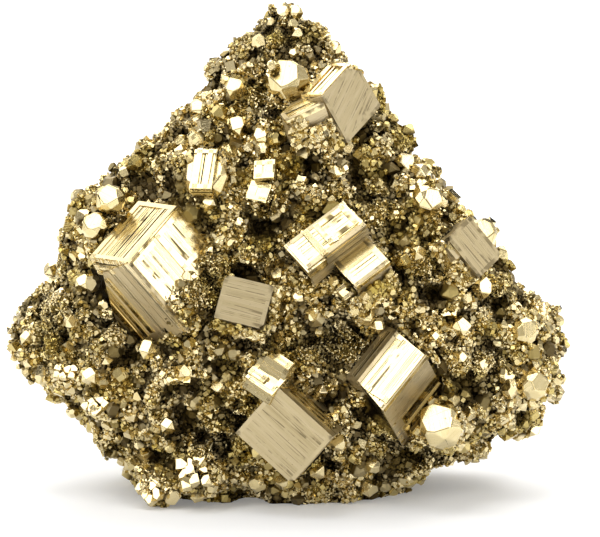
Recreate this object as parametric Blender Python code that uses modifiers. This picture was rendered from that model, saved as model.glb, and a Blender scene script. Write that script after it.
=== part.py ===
"""Pyrite specimen: cube crystals and fine druse grown together as one lump of mineral.

Metres, +Z up. The specimen stands on its broken base at z = 0 and its best side looks along -Y.
Everything intergrown is one solid: the ground mass, the big striated cubes and the small crystals.
"""

import math
import random

import bmesh
import bpy
from mathutils import Matrix, Vector

MM = 0.001
SEED = 7

# Outline of the ground mass in mm: height, left, right, front, back.
LEVELS = [
    (0.5, -25.5, 21.5, -17.0, 17.0),
    (5.0, -30.5, 27.5, -19.5, 19.0),
    (10.0, -36.0, 38.0, -21.5, 21.0),
    (15.0, -39.5, 47.0, -23.0, 22.0),
    (20.0, -44.5, 50.5, -24.0, 23.0),
    (25.0, -51.0, 51.0, -24.5, 23.5),
    (30.0, -50.5, 49.0, -24.5, 23.5),
    (35.0, -45.5, 44.5, -24.0, 23.0),
    (40.0, -42.5, 41.0, -23.5, 22.5),
    (45.0, -42.5, 39.0, -22.5, 21.5),
    (50.0, -40.0, 32.5, -21.5, 20.0),
    (55.0, -34.5, 30.0, -20.0, 18.5),
    (60.0, -29.0, 24.0, -18.5, 16.5),
    (65.0, -23.0, 21.5, -16.5, 14.5),
    (70.0, -17.5, 17.5, -14.5, 12.0),
    (75.0, -15.5, 13.0, -12.5, 10.0),
    (79.5, -11.5, 8.5, -10.5, 8.0),
    (82.5, -7.0, 5.5, -7.5, 5.5),
]
SECTION_POWER = 2.4  # 2 is an ellipse, more is boxier
LUMP_MIN, LUMP_MAX = 2.9, 5.6  # radius of a lump of druse
LUMP_PITCH = 1.55  # gap between lump centres, in radii
SUMMIT = (-0.5, -0.5, 84.6, 2.9)  # x, y, z and radius of the topmost knob
CORE_HEIGHT = 5.5  # half height of each filling ellipsoid
CORE_INSET = 4.6  # how far the filled core stays inside the outline
VOXEL = 1.4
BODY_TRIANGLES = 2900
SLAB = 60.0  # depth of the cut that makes the base flat

# Notch under the front of the base: centre and half sizes.
ARCH_AT = (-6.8, -20.5, -0.6)
ARCH_SIZE = (4.0, 10.5, 4.2)

# Placed crystals. The origin is the middle of the main face; x runs along the striations,
# z is the face's outward normal. Sizes are along x, across it, and into the ground mass.
CRYSTALS = {
    "great_cube": ((-18.3, -21.8, 43.7), (0.56, -0.76, 0.33), (0.63, 0.13, -0.77), (16.2, 16.0, 16.0)),
    "top_cube": ((11.2, -15.5, 72.2), (0.74, -0.61, 0.28), (0.48, 0.77, 0.42), (11.9, 9.7, 10.5)),
    "top_cube_side": ((2.6, -19.6, 70.4), (-0.30, -0.35, 0.89), (0.89, 0.23, 0.39), (7.4, 5.0, 5.5)),
    "stair_upper": ((6.6, -24.3, 50.0), (-0.20, -0.75, 0.63), (0.79, 0.26, 0.56), (13.0, 6.8, 9.5)),
    "stair_middle": ((12.5, -24.5, 45.5), (-0.20, -0.75, 0.63), (0.79, 0.26, 0.56), (7.6, 8.0, 8.0)),
    "stair_lower": ((10.8, -25.1, 40.7), (-0.20, -0.75, 0.63), (0.79, 0.26, 0.56), (4.0, 3.0, 6.0)),
    "flat_cube": ((-7.6, -26.5, 38.5), (-0.06, -0.92, 0.39), (0.97, -0.15, -0.21), (8.8, 7.9, 8.5)),
    "right_cube": ((32.8, -20.1, 47.1), (0.45, -0.80, 0.40), (0.63, -0.03, -0.77), (9.0, 6.6, 8.0)),
    "ridge_cube": ((17.8, -26.9, 26.3), (-0.25, -0.76, 0.59), (-0.61, -0.35, -0.71), (13.4, 7.6, 15.5)),
    "low_cube": ((-0.6, -29.0, 15.3), (-0.22, -0.97, 0.01), (0.74, -0.17, -0.65), (13.2, 11.4, 12.0)),
    "low_block": ((-3.4, -26.6, 25.6), (-0.20, -0.76, 0.62), (0.74, -0.53, -0.41), (6.8, 5.4, 8.0)),
    "twin_low": ((-5.1, -23.6, 57.5), (-0.20, -0.76, 0.62), (0.31, 0.55, 0.77), (4.0, 3.8, 5.0)),
    "twin_high": ((-4.1, -22.4, 61.3), (-0.20, -0.76, 0.62), (0.04, 0.63, 0.78), (3.8, 3.8, 5.0)),
    "back_cube": ((-12.0, 24.5, 37.0), (-0.35, 0.88, 0.32), (0.80, 0.45, -0.35), (12.0, 10.5, 10.0)),
    "back_block": ((19.0, 24.0, 22.0), (0.30, 0.93, 0.18), (0.60, -0.30, 0.74), (9.5, 9.0, 9.0)),
    "back_top": ((4.0, 19.0, 59.0), (-0.10, 0.80, 0.60), (0.90, -0.15, 0.40), (7.5, 7.0, 8.0)),
}

# Planes that trim a placed crystal: a point and an outward normal in the crystal's own frame.
TRIMS = {
    "great_cube": [((-8.1, -8.0, -8.4), (-1.0, -1.2, -1.3)), ((8.1, 6.2, -1.5), (1.0, 0.6, 0.7))],
    "top_cube": [((3.4, 4.85, 0.0), (0.65, 0.76, 0.0)), ((-5.9, 4.8, -6.0), (-1.0, 0.8, -0.8))],
    "top_cube_side": [((-3.7, 0.4, 0.0), (-0.6, 0.8, 0.2)), ((3.7, 1.2, 0.0), (0.8, 0.6, 0.0))],
    "stair_middle": [((3.8, 2.6, 0.0), (0.8, 0.6, 0.2))],
    "stair_lower": [((2.0, 0.5, 0.0), (0.8, -0.6, 0.3))],
    "flat_cube": [((4.4, -3.0, 0.0), (0.8, -0.6, 0.2)), ((-4.4, 3.2, 0.0), (-0.7, 0.7, 0.2))],
    "right_cube": [((4.5, 2.2, 0.0), (0.8, 0.6, 0.2)), ((-4.5, -2.6, 0.0), (-0.7, -0.7, 0.3))],
    "ridge_cube": [
        ((0.0, -3.6, 0.0), (0.0, -0.9, 0.7)),
        ((6.7, 3.8, 0.0), (0.96, -0.28, 0.0)),
        ((-6.7, -3.8, 0.0), (-0.99, 0.13, 0.0)),
    ],
    "low_cube": [((6.6, -4.9, 0.0), (0.7, -0.7, 0.2))],
    "low_block": [((-3.4, 1.6, 0.0), (-0.7, 0.7, 0.3))],
}

# Thin plates that step up on a placed crystal: middle and size in the crystal's own frame.
PLATES = {
    "great_cube": [
        ((-8.0, 0.4, -6.0), (1.5, 13.6, 7.0)),
        ((-8.6, 0.2, -8.6), (2.4, 12.4, 4.0)),
        ((-2.0, -7.9, -7.4), (9.2, 1.2, 9.0)),
        ((-2.4, 1.0, 0.0), (8.6, 11.0, 0.7)),
    ],
    "top_cube": [((-5.8, -0.4, -4.2), (0.9, 7.6, 4.6)), ((-0.4, -0.4, 0.0), (9.6, 6.8, 0.5))],
    "ridge_cube": [
        ((0.3, 3.8, -5.0), (10.6, 0.9, 6.6)),
        ((-0.6, 0.4, 0.0), (9.4, 4.0, 0.5)),
        ((-1.5, -4.8, -4.0), (11.0, 4.0, 5.0)),
    ],    "low_cube": [((-0.4, 0.2, 0.0), (10.4, 8.4, 0.6)), ((0.0, 5.6, -4.0), (10.4, 1.0, 4.6))],
    "flat_cube": [((0.1, -0.2, 0.0), (6.4, 5.6, 0.5))],
    "stair_upper": [((2.2, 0.6, 0.0), (7.6, 3.6, 0.5))],
    "back_cube": [((0.4, -0.5, 0.0), (9.0, 7.4, 0.8)), ((-6.0, 0.2, -4.0), (0.9, 8.0, 4.4))],
}

# Lumps of druse grown over a face, in that crystal's own frame: crystal, middle, radius.
CRUST = [
    ("great_cube", (6.4, -3.2, -1.7), 2.9),
    ("great_cube", (6.0, 2.4, -1.9), 3.1),
    ("great_cube", (6.6, 6.4, -1.8), 2.9),
    ("low_cube", (0.0, 7.6, -1.2), 2.6),
]

# Open hollows beside the bare sides of crystals: crystal, middle in its frame, half sizes.
HOLLOWS = [
    ("great_cube", (-0.5, -11.6, -6.0), (7.5, 4.0, 8.5)),
    ("top_cube", (0.0, 7.8, -3.0), (6.0, 3.4, 4.4)),
    ("ridge_cube", (-1.0, 7.4, -7.5), (8.0, 4.0, 8.0)),
    ("low_cube", (0.8, 9.0, -4.6), (6.4, 3.6, 5.2)),
    ("right_cube", (-5.6, 3.4, 0.4), (3.6, 3.2, 3.4)),
    ("flat_cube", (6.4, -1.5, 0.0), (2.8, 3.6, 3.4)),
]

# Many-faced crystals, nearly round: middle, facing, radius.
ROUND_CRYSTALS = [
    ((-14.4, -17.6, 58.6), (-0.20, -0.77, 0.60), 5.0),
    ((0.1, -14.6, 75.4), (-0.18, -0.77, 0.61), 3.6),
    ((27.0, -23.4, 15.4), (-0.20, -0.76, 0.62), 4.2),
    ((-31.0, -15.4, 54.4), (-0.20, -0.76, 0.62), 2.6),
    ((-33.6, -16.4, 49.8), (-0.20, -0.76, 0.62), 2.4),
    ((-38.6, -13.6, 24.4), (0.51, -0.79, 0.35), 3.4),
    ((-33.2, -17.0, 19.0), (0.51, -0.79, 0.35), 3.2),
    ((-22.8, -17.4, 4.4), (-0.20, -0.76, 0.62), 3.8),
    ((-15.6, -19.6, 6.4), (-0.20, -0.76, 0.62), 4.2),
    ((24.6, -14.2, 54.4), (0.51, -0.79, 0.35), 3.0),
    ((34.4, -12.6, 48.2), (0.20, -0.87, 0.47), 2.9),
    ((41.8, -13.4, 30.6), (0.40, -0.84, 0.37), 2.8),
    ((43.6, -15.6, 21.4), (0.40, -0.84, 0.37), 3.0),
    ((-27.0, 19.6, 28.0), (-0.40, 0.84, 0.37), 4.4),
    ((29.0, 19.0, 40.0), (0.40, 0.84, 0.37), 4.2),
    ((-3.0, 21.6, 14.0), (0.00, 0.98, 0.20), 4.6),
]

SMALL_COUNT = 112
SMALL_MIN, SMALL_MAX = 2.6, 6.0  # edge of a small scattered crystal
SMALL_GAP = 4.6
SMALL_TRIES = 4000
SMALL_FLOOR, SMALL_CEILING = 6.5, 81.0  # none is centred outside these heights
SMALL_SINK = 0.22  # how deep its middle sits, as a share of its edge
RIM_SHRINK = 0.4  # how much smaller they are where the skin faces sideways
FRONT_SHARE = 1.7  # how much thicker they grow on the best side
KEEP_OFF = 0.62  # share of a placed crystal's size that stays free of small ones

COLOUR = (0.60, 0.50, 0.28, 1.0)
ROUGHNESS = 0.22


def clear_objects():
    """Start from an empty file."""
    for obj in list(bpy.data.objects):
        bpy.data.objects.remove(obj, do_unlink=True)


def mm(values):
    return Vector(values) * MM


def collection(name, hidden=False):
    made = bpy.data.collections.new(name)
    bpy.context.scene.collection.children.link(made)
    made.hide_render = hidden
    return made


def mesh_object(name, bm, home):
    """An object in its collection from the bmesh, which is used up."""
    mesh = bpy.data.meshes.new(name)
    bmesh.ops.recalc_face_normals(bm, faces=bm.faces)
    bm.to_mesh(mesh)
    bm.free()
    obj = bpy.data.objects.new(name, mesh)
    home.objects.link(obj)
    return obj


def add_lump(bm, at, radii, detail=2):
    """A rounded lump: an icosphere stretched to three half sizes."""
    place = Matrix.Translation(mm(at)) @ Matrix.Diagonal((*[r * MM for r in radii], 1.0))
    bmesh.ops.create_icosphere(bm, subdivisions=detail, radius=1.0, matrix=place)


def ring(level, rng):
    """Lumps round one level of the outline, each just inside it."""
    z, left, right, front, back = level
    middle = Vector(((left + right) / 2, (front + back) / 2))
    turn = rng.uniform(0.0, math.tau)
    angle = 0.0
    while angle < math.tau - 0.05:
        r = rng.uniform(LUMP_MIN, LUMP_MAX)
        a, b = (right - left) / 2 - r, (back - front) / 2 - r
        c, s = math.cos(turn + angle), math.sin(turn + angle)
        x = a * math.copysign(abs(c) ** (2 / SECTION_POWER), c)
        y = b * math.copysign(abs(s) ** (2 / SECTION_POWER), s)
        lift = rng.uniform(-1.6, 1.6)
        yield (middle.x + x, middle.y + y, z + lift), r
        angle += LUMP_PITCH * r / max(math.hypot(a * s, b * c), 4.0)


def ground_mass(home):
    """Lumps of druse over a filled core, fused to one skin by the remesh."""
    rng = random.Random(SEED)
    bm = bmesh.new()
    for level in LEVELS:
        z, left, right, front, back = level
        for at, r in ring(level, rng):
            add_lump(bm, at, (r, r, r))
        at = ((left + right) / 2, (front + back) / 2, z)
        half = ((right - left) / 2 - CORE_INSET, (back - front) / 2 - CORE_INSET, CORE_HEIGHT)
        add_lump(bm, at, half, detail=3)
    x, y, z, r = SUMMIT
    add_lump(bm, (x, y, z), (r, r, r))
    for name, middle, r in CRUST:
        at, facing, along, _ = CRYSTALS[name]
        add_lump(bm, frame_of(at, facing, along) @ mm(middle) / MM, (r, r, r))
    obj = mesh_object("pyrite_cluster", bm, home)
    remesh = obj.modifiers.new("fuse_lumps", "REMESH")
    remesh.mode = "VOXEL"
    remesh.voxel_size = VOXEL * MM
    remesh.adaptivity = 0.0
    return obj


def settle(obj):
    """Replace the object's mesh by what its modifiers make, keeping only the outer shell."""
    graph = bpy.context.evaluated_depsgraph_get()
    made = bpy.data.meshes.new_from_object(obj.evaluated_get(graph))
    obj.modifiers.clear()
    obj.data = made
    bm = bmesh.new()
    bm.from_mesh(made)
    bm.verts.ensure_lookup_table()
    shell = max(shells(bm), key=len)
    inner = [v for v in bm.verts if v not in shell]
    bmesh.ops.delete(bm, geom=inner, context="VERTS")
    bm.to_mesh(made)
    bm.free()
    return obj


def shells(bm):
    """The sets of vertices joined by edges."""
    left = set(bm.verts)
    while left:
        seen, edge = set(), [next(iter(left))]
        while edge:
            v = edge.pop()
            if v in seen:
                continue
            seen.add(v)
            edge.extend(e.other_vert(v) for e in v.link_edges)
        left -= seen
        yield seen


def thin_out(obj, triangles):
    """Fewer, larger triangles, as flat as broken mineral."""
    decimate = obj.modifiers.new("thin_out", "DECIMATE")
    decimate.use_collapse_triangulate = True
    faces = sum(len(p.vertices) - 2 for p in obj.data.polygons)
    decimate.ratio = triangles / faces


def frame_of(at, facing, along):
    """The crystal's own frame: x along the striations, z out of the main face."""
    z = Vector(facing).normalized()
    x = Vector(along)
    x = (x - z * x.dot(z)).normalized()
    y = z.cross(x)
    turn = Matrix((x, y, z)).transposed().to_4x4()
    return Matrix.Translation(mm(at)) @ turn


def trim(bm, point, normal):
    """Slice off what lies beyond a plane and close the cut."""
    geom = bm.verts[:] + bm.edges[:] + bm.faces[:]
    cut = bmesh.ops.bisect_plane(
        bm, geom=geom, dist=1e-9, plane_co=mm(point), plane_no=Vector(normal), clear_outer=True
    )
    edges = [e for e in cut["geom_cut"] if isinstance(e, bmesh.types.BMEdge)]
    if edges:
        bmesh.ops.contextual_create(bm, geom=edges)


def block(middle, size):
    """A box in a bmesh of its own."""
    bm = bmesh.new()
    place = Matrix.Translation(mm(middle)) @ Matrix.Diagonal((*[s * MM for s in size], 1.0))
    bmesh.ops.create_cube(bm, size=1.0, matrix=place)
    return bm


def add_part(target, bm, place):
    """Move one closed solid into the shared bmesh of crystals."""
    bmesh.ops.transform(bm, matrix=place, verts=bm.verts)
    bmesh.ops.recalc_face_normals(bm, faces=bm.faces)
    mesh = bpy.data.meshes.new("one_crystal")
    bm.to_mesh(mesh)
    bm.free()
    target.from_mesh(mesh)
    bpy.data.meshes.remove(mesh)


def add_placed(target):
    """The big striated cubes with their stepped plates."""
    for name, (at, facing, along, size) in CRYSTALS.items():
        place = frame_of(at, facing, along)
        body = block((0.0, 0.0, -size[2] / 2), size)
        for point, normal in TRIMS.get(name, []):
            trim(body, point, normal)
        add_part(target, body, place)
        for middle, plate in PLATES.get(name, []):
            add_part(target, block(middle, plate), place)


def many_faced(radius):
    """A cube cut on its corners and edges, the habit of the smaller crystals."""
    bm = block((0, 0, 0), [radius * 2] * 3)
    signs = (-1, 1)
    corner = [Vector((a, b, c)).normalized() for a in signs for b in signs for c in signs]
    edge = [Vector(v).normalized() for a in signs for b in signs for v in ((0, a, b), (a, 0, b), (a, b, 0))]
    for normal in corner:
        trim(bm, normal * radius * 1.12, normal)
    for normal in edge:
        trim(bm, normal * radius * 1.16, normal)
    return bm


def hollow_cutters():
    """Smooth lumps of air, each set beside one crystal."""
    bm = bmesh.new()
    for name, middle, half in HOLLOWS:
        at, facing, along, _ = CRYSTALS[name]
        lump = bmesh.new()
        add_lump(lump, middle, half)
        add_part(bm, lump, frame_of(at, facing, along))
    return bm


def add_round(target):
    for at, facing, radius in ROUND_CRYSTALS:
        add_part(target, many_faced(radius), frame_of(at, facing, (0.3, 0.5, 1.0)))


def free_of_placed(point):
    """Is the point away from the faces of the big crystals?"""
    for at, facing, along, size in CRYSTALS.values():
        local = frame_of(at, facing, along).inverted() @ point / MM
        inside = [abs(local[i]) < KEEP_OFF * size[i] for i in range(2)]
        if all(inside) and abs(local.z) < 0.6 * size[2]:
            return False
    return all((point - mm(at)).length > r * MM for at, _, r in ROUND_CRYSTALS)


def outside_points(mesh, rng):
    """Facets of the skin in random order, larger ones and those at the front more often."""
    faces = [p for p in mesh.polygons if SMALL_FLOOR < p.center.z / MM < SMALL_CEILING]
    weights = [p.area * (FRONT_SHARE if p.normal.y < -0.3 else 1.0) for p in faces]
    for face in rng.choices(faces, weights, k=SMALL_TRIES):
        yield face.center, face.normal


def small_crystal(rng, normal):
    """A small cube, half of them with one corner grown flat."""
    edge = SMALL_MIN + (SMALL_MAX - SMALL_MIN) * rng.random() ** 2
    edge *= 1.0 - RIM_SHRINK * abs(normal.x)
    bm = block((0.0, 0.0, -SMALL_SINK * edge), (edge, edge * rng.uniform(0.8, 1.1), edge))
    if rng.random() < 0.5:
        corner = Vector([rng.choice((-1, 1)), rng.choice((-1, 1)), 1]).normalized()
        trim(bm, corner * edge * 0.62, corner)
    return bm


def add_small(target, body):
    """Small cubes standing a little out of the druse all over the specimen."""
    rng = random.Random(SEED + 1)
    taken = []
    for at, normal in outside_points(body.data, rng):
        near = any((at - other).length < SMALL_GAP * MM for other in taken)
        if len(taken) >= SMALL_COUNT or near or not free_of_placed(at):
            continue
        taken.append(at.copy())
        tilt = normal + Vector([rng.gauss(0, 0.45) for _ in range(3)])
        along = Vector([rng.gauss(0, 1) for _ in range(3)])
        add_part(target, small_crystal(rng, normal), frame_of(at / MM, tilt, along))


def boolean(obj, name, operation, other, own=False):
    cut = obj.modifiers.new(name, "BOOLEAN")
    cut.operation = operation
    cut.solver = "EXACT"
    cut.object = other
    cut.use_self = own


def material():
    """Polished brassy sulphide."""
    made = bpy.data.materials.new("pyrite")
    made.use_nodes = True
    shader = made.node_tree.nodes["Principled BSDF"]
    shader.inputs["Base Color"].default_value = COLOUR
    shader.inputs["Metallic"].default_value = 1.0
    shader.inputs["Roughness"].default_value = ROUGHNESS
    made.diffuse_color = COLOUR
    return made


def cutters(home):
    """The base slab and the notch, kept apart from the specimen."""
    base = mesh_object("base_cut", block((0, 0, -SLAB / 2), (200.0, 200.0, SLAB)), home)
    bm = bmesh.new()
    add_lump(bm, ARCH_AT, ARCH_SIZE)
    arch = mesh_object("arch_cut", bm, home)
    for obj in (base, arch):
        obj.hide_render = True
        obj.display_type = "WIRE"
    return base, arch


def main():
    clear_objects()
    home = collection("pyrite_specimen")
    tools = collection("pyrite_cutters", hidden=True)
    body = settle(ground_mass(home))
    thin_out(body, BODY_TRIANGLES)
    settle(body)

    crystals = bmesh.new()
    add_placed(crystals)
    add_round(crystals)
    add_small(crystals, body)
    grown = mesh_object("crystals", crystals, tools)
    grown.hide_render = True
    grown.display_type = "WIRE"
    base, arch = cutters(tools)
    hollows = mesh_object("hollow_cut", hollow_cutters(), tools)
    hollows.hide_render = True
    hollows.display_type = "WIRE"

    boolean(body, "open_hollows", "DIFFERENCE", hollows, own=True)
    boolean(body, "grow_crystals", "UNION", grown, own=True)
    boolean(body, "flat_base", "DIFFERENCE", base)
    boolean(body, "notch", "DIFFERENCE", arch)
    body.data.materials.clear()
    body.data.materials.append(material())


main()
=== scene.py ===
# %% [markdown]
# A pyrite specimen: a fist-sized lump of fool's gold in which big striated cubes sit in a crust of
# small sparkling crystals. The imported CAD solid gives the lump's true size and place. It could be
# given only a shiny material, but pyrite is read by its thousands of small flat faces, so the solid
# is used as the carrier, and every visible crystal is grown on it here as a real faceted solid.

# %% Frame and libraries
import math
from collections import namedtuple
from itertools import product

import bmesh
import bpy
import numpy as np
from mathutils import Matrix, Vector, noise
from mathutils.bvhtree import BVHTree


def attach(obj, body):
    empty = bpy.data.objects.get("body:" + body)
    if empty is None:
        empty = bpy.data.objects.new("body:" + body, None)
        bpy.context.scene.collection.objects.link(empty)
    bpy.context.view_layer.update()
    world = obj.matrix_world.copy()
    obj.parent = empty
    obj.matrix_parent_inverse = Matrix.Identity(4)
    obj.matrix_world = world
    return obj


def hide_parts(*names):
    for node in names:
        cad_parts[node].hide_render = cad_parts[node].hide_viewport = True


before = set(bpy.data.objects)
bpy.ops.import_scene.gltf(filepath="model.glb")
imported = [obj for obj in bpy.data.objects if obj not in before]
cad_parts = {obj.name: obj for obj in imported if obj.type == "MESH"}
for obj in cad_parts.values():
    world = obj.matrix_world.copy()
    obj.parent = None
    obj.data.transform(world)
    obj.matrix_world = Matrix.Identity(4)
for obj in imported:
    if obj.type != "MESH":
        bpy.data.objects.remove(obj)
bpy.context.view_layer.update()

MM = 0.001
NODE = "pyrite_cluster"

# %% [markdown]
# The camera looks at the best side from ten degrees above the table, through a long lens, so the
# cubes keep their sides parallel as they do in a portrait of a specimen. The lens is worked out from
# the width of the view at the specimen, which keeps the framing the same if the distance changes.

# %% Camera
CAMERA_DISTANCE = 800.0
CAMERA_RISE = math.radians(10.0)
AIM = Vector((2.16, 0.0, 39.7))
VIEW_WIDTH = 108.0
SENSOR = 36.0
CLIP_NEAR, CLIP_FAR = 0.01, 10.0


def add_camera():
    data = bpy.data.cameras.new("portrait_camera")
    data.sensor_width = SENSOR
    data.lens = SENSOR * CAMERA_DISTANCE / VIEW_WIDTH
    data.clip_start, data.clip_end = CLIP_NEAR, CLIP_FAR
    camera = bpy.data.objects.new("portrait_camera", data)
    bpy.context.scene.collection.objects.link(camera)
    back = Vector((0.0, -math.cos(CAMERA_RISE), math.sin(CAMERA_RISE)))
    camera.location = (AIM + back * CAMERA_DISTANCE) * MM
    camera.rotation_euler = (-back).to_track_quat("-Z", "Y").to_euler()
    bpy.context.scene.camera = camera
    return camera


camera = add_camera()
EYE = np.array(camera.location) / MM
print("lens", round(camera.data.lens, 1), "mm")

# %% [markdown]
# Every material is a small graph of nodes. Writing `1 - mask * 0.5` is easier to read than wiring
# three boxes, so one class wraps an output socket and turns each operator into a Math node, and one
# bench adds any other node from its type, its settings and the values or links of its sockets.

# %% Wires
class Wire:
    """An output socket that arithmetic can be done on."""

    def __init__(self, bench, socket):
        self.bench, self.socket = bench, socket

    def maths(self, operation, *terms):
        return self.bench.node("ShaderNodeMath", {"operation": operation}, dict(enumerate(terms)))

    def __add__(self, other):
        return self.maths("ADD", self, other)

    def __sub__(self, other):
        return self.maths("SUBTRACT", self, other)

    def __rsub__(self, other):
        return self.maths("SUBTRACT", other, self)

    def __mul__(self, other):
        return self.maths("MULTIPLY", self, other)

    def __truediv__(self, other):
        return self.maths("DIVIDE", self, other)

    __radd__, __rmul__ = __add__, __mul__

    def clamped(self):
        return self.bench.node("ShaderNodeClamp", {}, {0: self})

    def step(self, low, high):
        """0 below low, 1 above high, smooth between them."""
        inputs = {"Value": self, "From Min": low, "From Max": high}
        return self.bench.node("ShaderNodeMapRange", {"interpolation_type": "SMOOTHSTEP"}, inputs)


print("wires ready")

# %% [markdown]
# The bench holds the node tree that is being worked on. Colours and numbers that the mesh stores go
# through their own nodes, because a Math node turns a colour grey.

# %% Bench
class Bench:
    """The node tree that is being worked on."""

    def __init__(self, tree):
        self.tree = tree
        tree.nodes.clear()

    def node(self, kind, settings=None, inputs=None, output=0):
        """Any node from its type, its settings and the values or links of its sockets."""
        made = self.tree.nodes.new(kind)
        for key, value in (settings or {}).items():
            setattr(made, key, value)
        for key, value in (inputs or {}).items():
            if isinstance(value, Wire):
                self.tree.links.new(value.socket, made.inputs[key])
            else:
                made.inputs[key].default_value = value
        return Wire(self, made.outputs[output]) if made.outputs else None

    def mix(self, factor, first, second):
        """A colour between two colours."""
        first, second = (c if isinstance(c, Wire) else (*c, 1.0) for c in (first, second))
        return self.node("ShaderNodeMix", {"data_type": "RGBA"}, {0: factor, 6: first, 7: second}, 2)

    def attribute(self, name):
        """What the mesh stores under this name, as a number."""
        return self.node("ShaderNodeAttribute", {"attribute_name": name}, {}, "Fac")

    def speckle(self, size_mm, detail=2.0):
        """Noise with spots of about this size, from 0 to 1."""
        where = self.node("ShaderNodeTexCoord", {}, {}, "Object")
        inputs = {"Vector": where, "Scale": 1.0 / (size_mm * MM), "Detail": detail}
        return self.node("ShaderNodeTexNoise", {}, inputs, 0)

    def surface(self, inputs):
        """A principled shader, wired to the material's output."""
        shader = self.node("ShaderNodeBsdfPrincipled", {}, inputs)
        self.node("ShaderNodeOutputMaterial", {}, {"Surface": shader})


def new_finish(name):
    """An empty material and the bench of its nodes."""
    made = bpy.data.materials.new(name)
    made.use_nodes = True
    return made, Bench(made.node_tree)


print("bench ready")

# %% [markdown]
# The studio is a pale paper table in a soft grey room. The paper glows a little, as a light table
# does, so that shadows stay soft, and more in front of the specimen, where its low faces look. A
# lamp down there would do the same, but the metal would mirror it as a hard spot.

# %% Table
TABLE_SIZE = 6.0
TABLE_SQUARES = 8
PAPER, PAPER_FRONT = (0.885, 0.90, 0.93), (0.845, 0.855, 0.88)
PAPER_ROUGHNESS = 0.9
CLOUD_SIZE, CLOUD_SHADE = 40.0, 0.985  # soft clouds in the paper: size in mm and how light the dark ones are
PAPER_GLOW, FRONT_GLOW = 0.17, 0.42
GLOW_EDGE = (-0.120, -0.048)  # metres: the front glow fades between these places towards the specimen


def times(colour, share):
    return [c * share for c in colour]


def pale_paper():
    paper, bench = new_finish("pale_paper")
    place = bench.node("ShaderNodeTexCoord", {}, {}, "Object")
    near = bench.node("ShaderNodeSeparateXYZ", {}, {0: place}, "Y").step(*GLOW_EDGE)
    tone = bench.mix(bench.speckle(CLOUD_SIZE), PAPER, times(PAPER, CLOUD_SHADE))
    bench.surface({
        "Base Color": bench.mix(near, PAPER_FRONT, tone), "Roughness": PAPER_ROUGHNESS,
        "Emission Color": bench.mix(near, times(PAPER, FRONT_GLOW), times(PAPER, PAPER_GLOW)),
        "Emission Strength": 1.0,
    })
    return paper


def add_table():
    bm = bmesh.new()
    bmesh.ops.create_grid(bm, x_segments=TABLE_SQUARES, y_segments=TABLE_SQUARES, size=TABLE_SIZE / 2)
    mesh = bpy.data.meshes.new("table")
    bm.to_mesh(mesh)
    bm.free()
    table = bpy.data.objects.new("table", mesh)
    bpy.context.scene.collection.objects.link(table)
    mesh.materials.append(pale_paper())
    return table


table = add_table()
print("table", table.dimensions.x, "m wide")

# %% [markdown]
# Polished metal shows its surroundings, not itself, so the room decides how the faces read. A room
# of one grey would make the metal look like paper. This one has bright banks and dark corners, as a
# real studio has, and a few small lamps in its dark parts, which make single grains sparkle.

# %% Room
ROOM = (0.59, 0.575, 0.545)
BANKS = [
    # degrees to the right of the camera's side, degrees up, half width, brightness
    (-152, 38, 36, 2.4), (172, 57, 30, 1.9), (-9, 32, 20, 0.3), (64, 32, 14, 0.5), (102, 11, 15, 0.3),
]
SHADES = [
    # the same, with how much light each takes away
    (150, 6, 34, 0.97), (-96, 12, 36, 0.97), (28, 10, 24, 0.62), (10, 74, 20, 0.92), (-130, 75, 16, 0.9),
]
SPARKS = [
    # the same as the banks: small lamps in the dark parts of the room
    (-112, 26, 11, 9.0), (34, 52, 11, 9.0), (-20, 78, 10, 8.0), (134, 30, 11, 8.0), (-74, 10, 10, 7.0),
    (16, 14, 8, 5.0), (-42, 42, 9, 6.0), (118, 58, 10, 8.0),
]
LOBE_CORE = 0.55  # the share of a lobe's half width that is fully lit


def toward(turn, rise):
    """The direction this far to the right of the camera's side and this far up, in degrees."""
    a, b = math.radians(turn), math.radians(rise)
    return Vector((math.sin(a) * math.cos(b), -math.cos(a) * math.cos(b), math.sin(b)))


def lobe(bench, direction, turn, rise, half_width):
    """1 near the axis, 0 further from it than the half width."""
    inputs = {0: direction, 1: toward(turn, rise)}
    facing = bench.node("ShaderNodeVectorMath", {"operation": "DOT_PRODUCT"}, inputs, "Value")
    edge, core = math.radians(half_width), math.radians(half_width * LOBE_CORE)
    return facing.step(math.cos(edge), math.cos(core))


def light_room():
    world = bpy.data.worlds.new("grey_room")
    bpy.context.scene.world = world
    world.use_nodes = True
    bench = Bench(world.node_tree)
    direction = bench.node("ShaderNodeTexCoord", {}, {}, "Generated")
    level = None
    for *place, brightness in BANKS:
        glow = lobe(bench, direction, *place) * brightness
        level = glow + 1.0 if level is None else level + glow
    for *place, depth in SHADES:
        level = level * (1 - lobe(bench, direction, *place) * depth)
    for *place, brightness in SPARKS:
        level = level + lobe(bench, direction, *place) * brightness
    lit = bench.node("ShaderNodeBackground", {}, {"Color": (*ROOM, 1.0), "Strength": level})
    bench.node("ShaderNodeOutputWorld", {}, {"Surface": lit})


light_room()
print("room lit with", len(BANKS), "banks,", len(SHADES), "shades and", len(SPARKS), "small lamps")

# %% [markdown]
# Three softboxes give the direct light: one low at the right, one high at the left, and a wide one
# behind that lights the table. Their even rectangles are what the clean faces mirror as white.

# %% Softboxes
SOFTBOXES = {
    # turn and rise in degrees, distance in mm, width and height in mm, brightness
    "right_softbox": ((77, 19), 620.0, (250.0, 220.0), 2.9),
    "top_softbox": ((-50, 61), 640.0, (330.0, 300.0), 2.7),
    "table_bank": ((175, 52), 1300.0, (1300.0, 700.0), 1.6),
}


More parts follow.
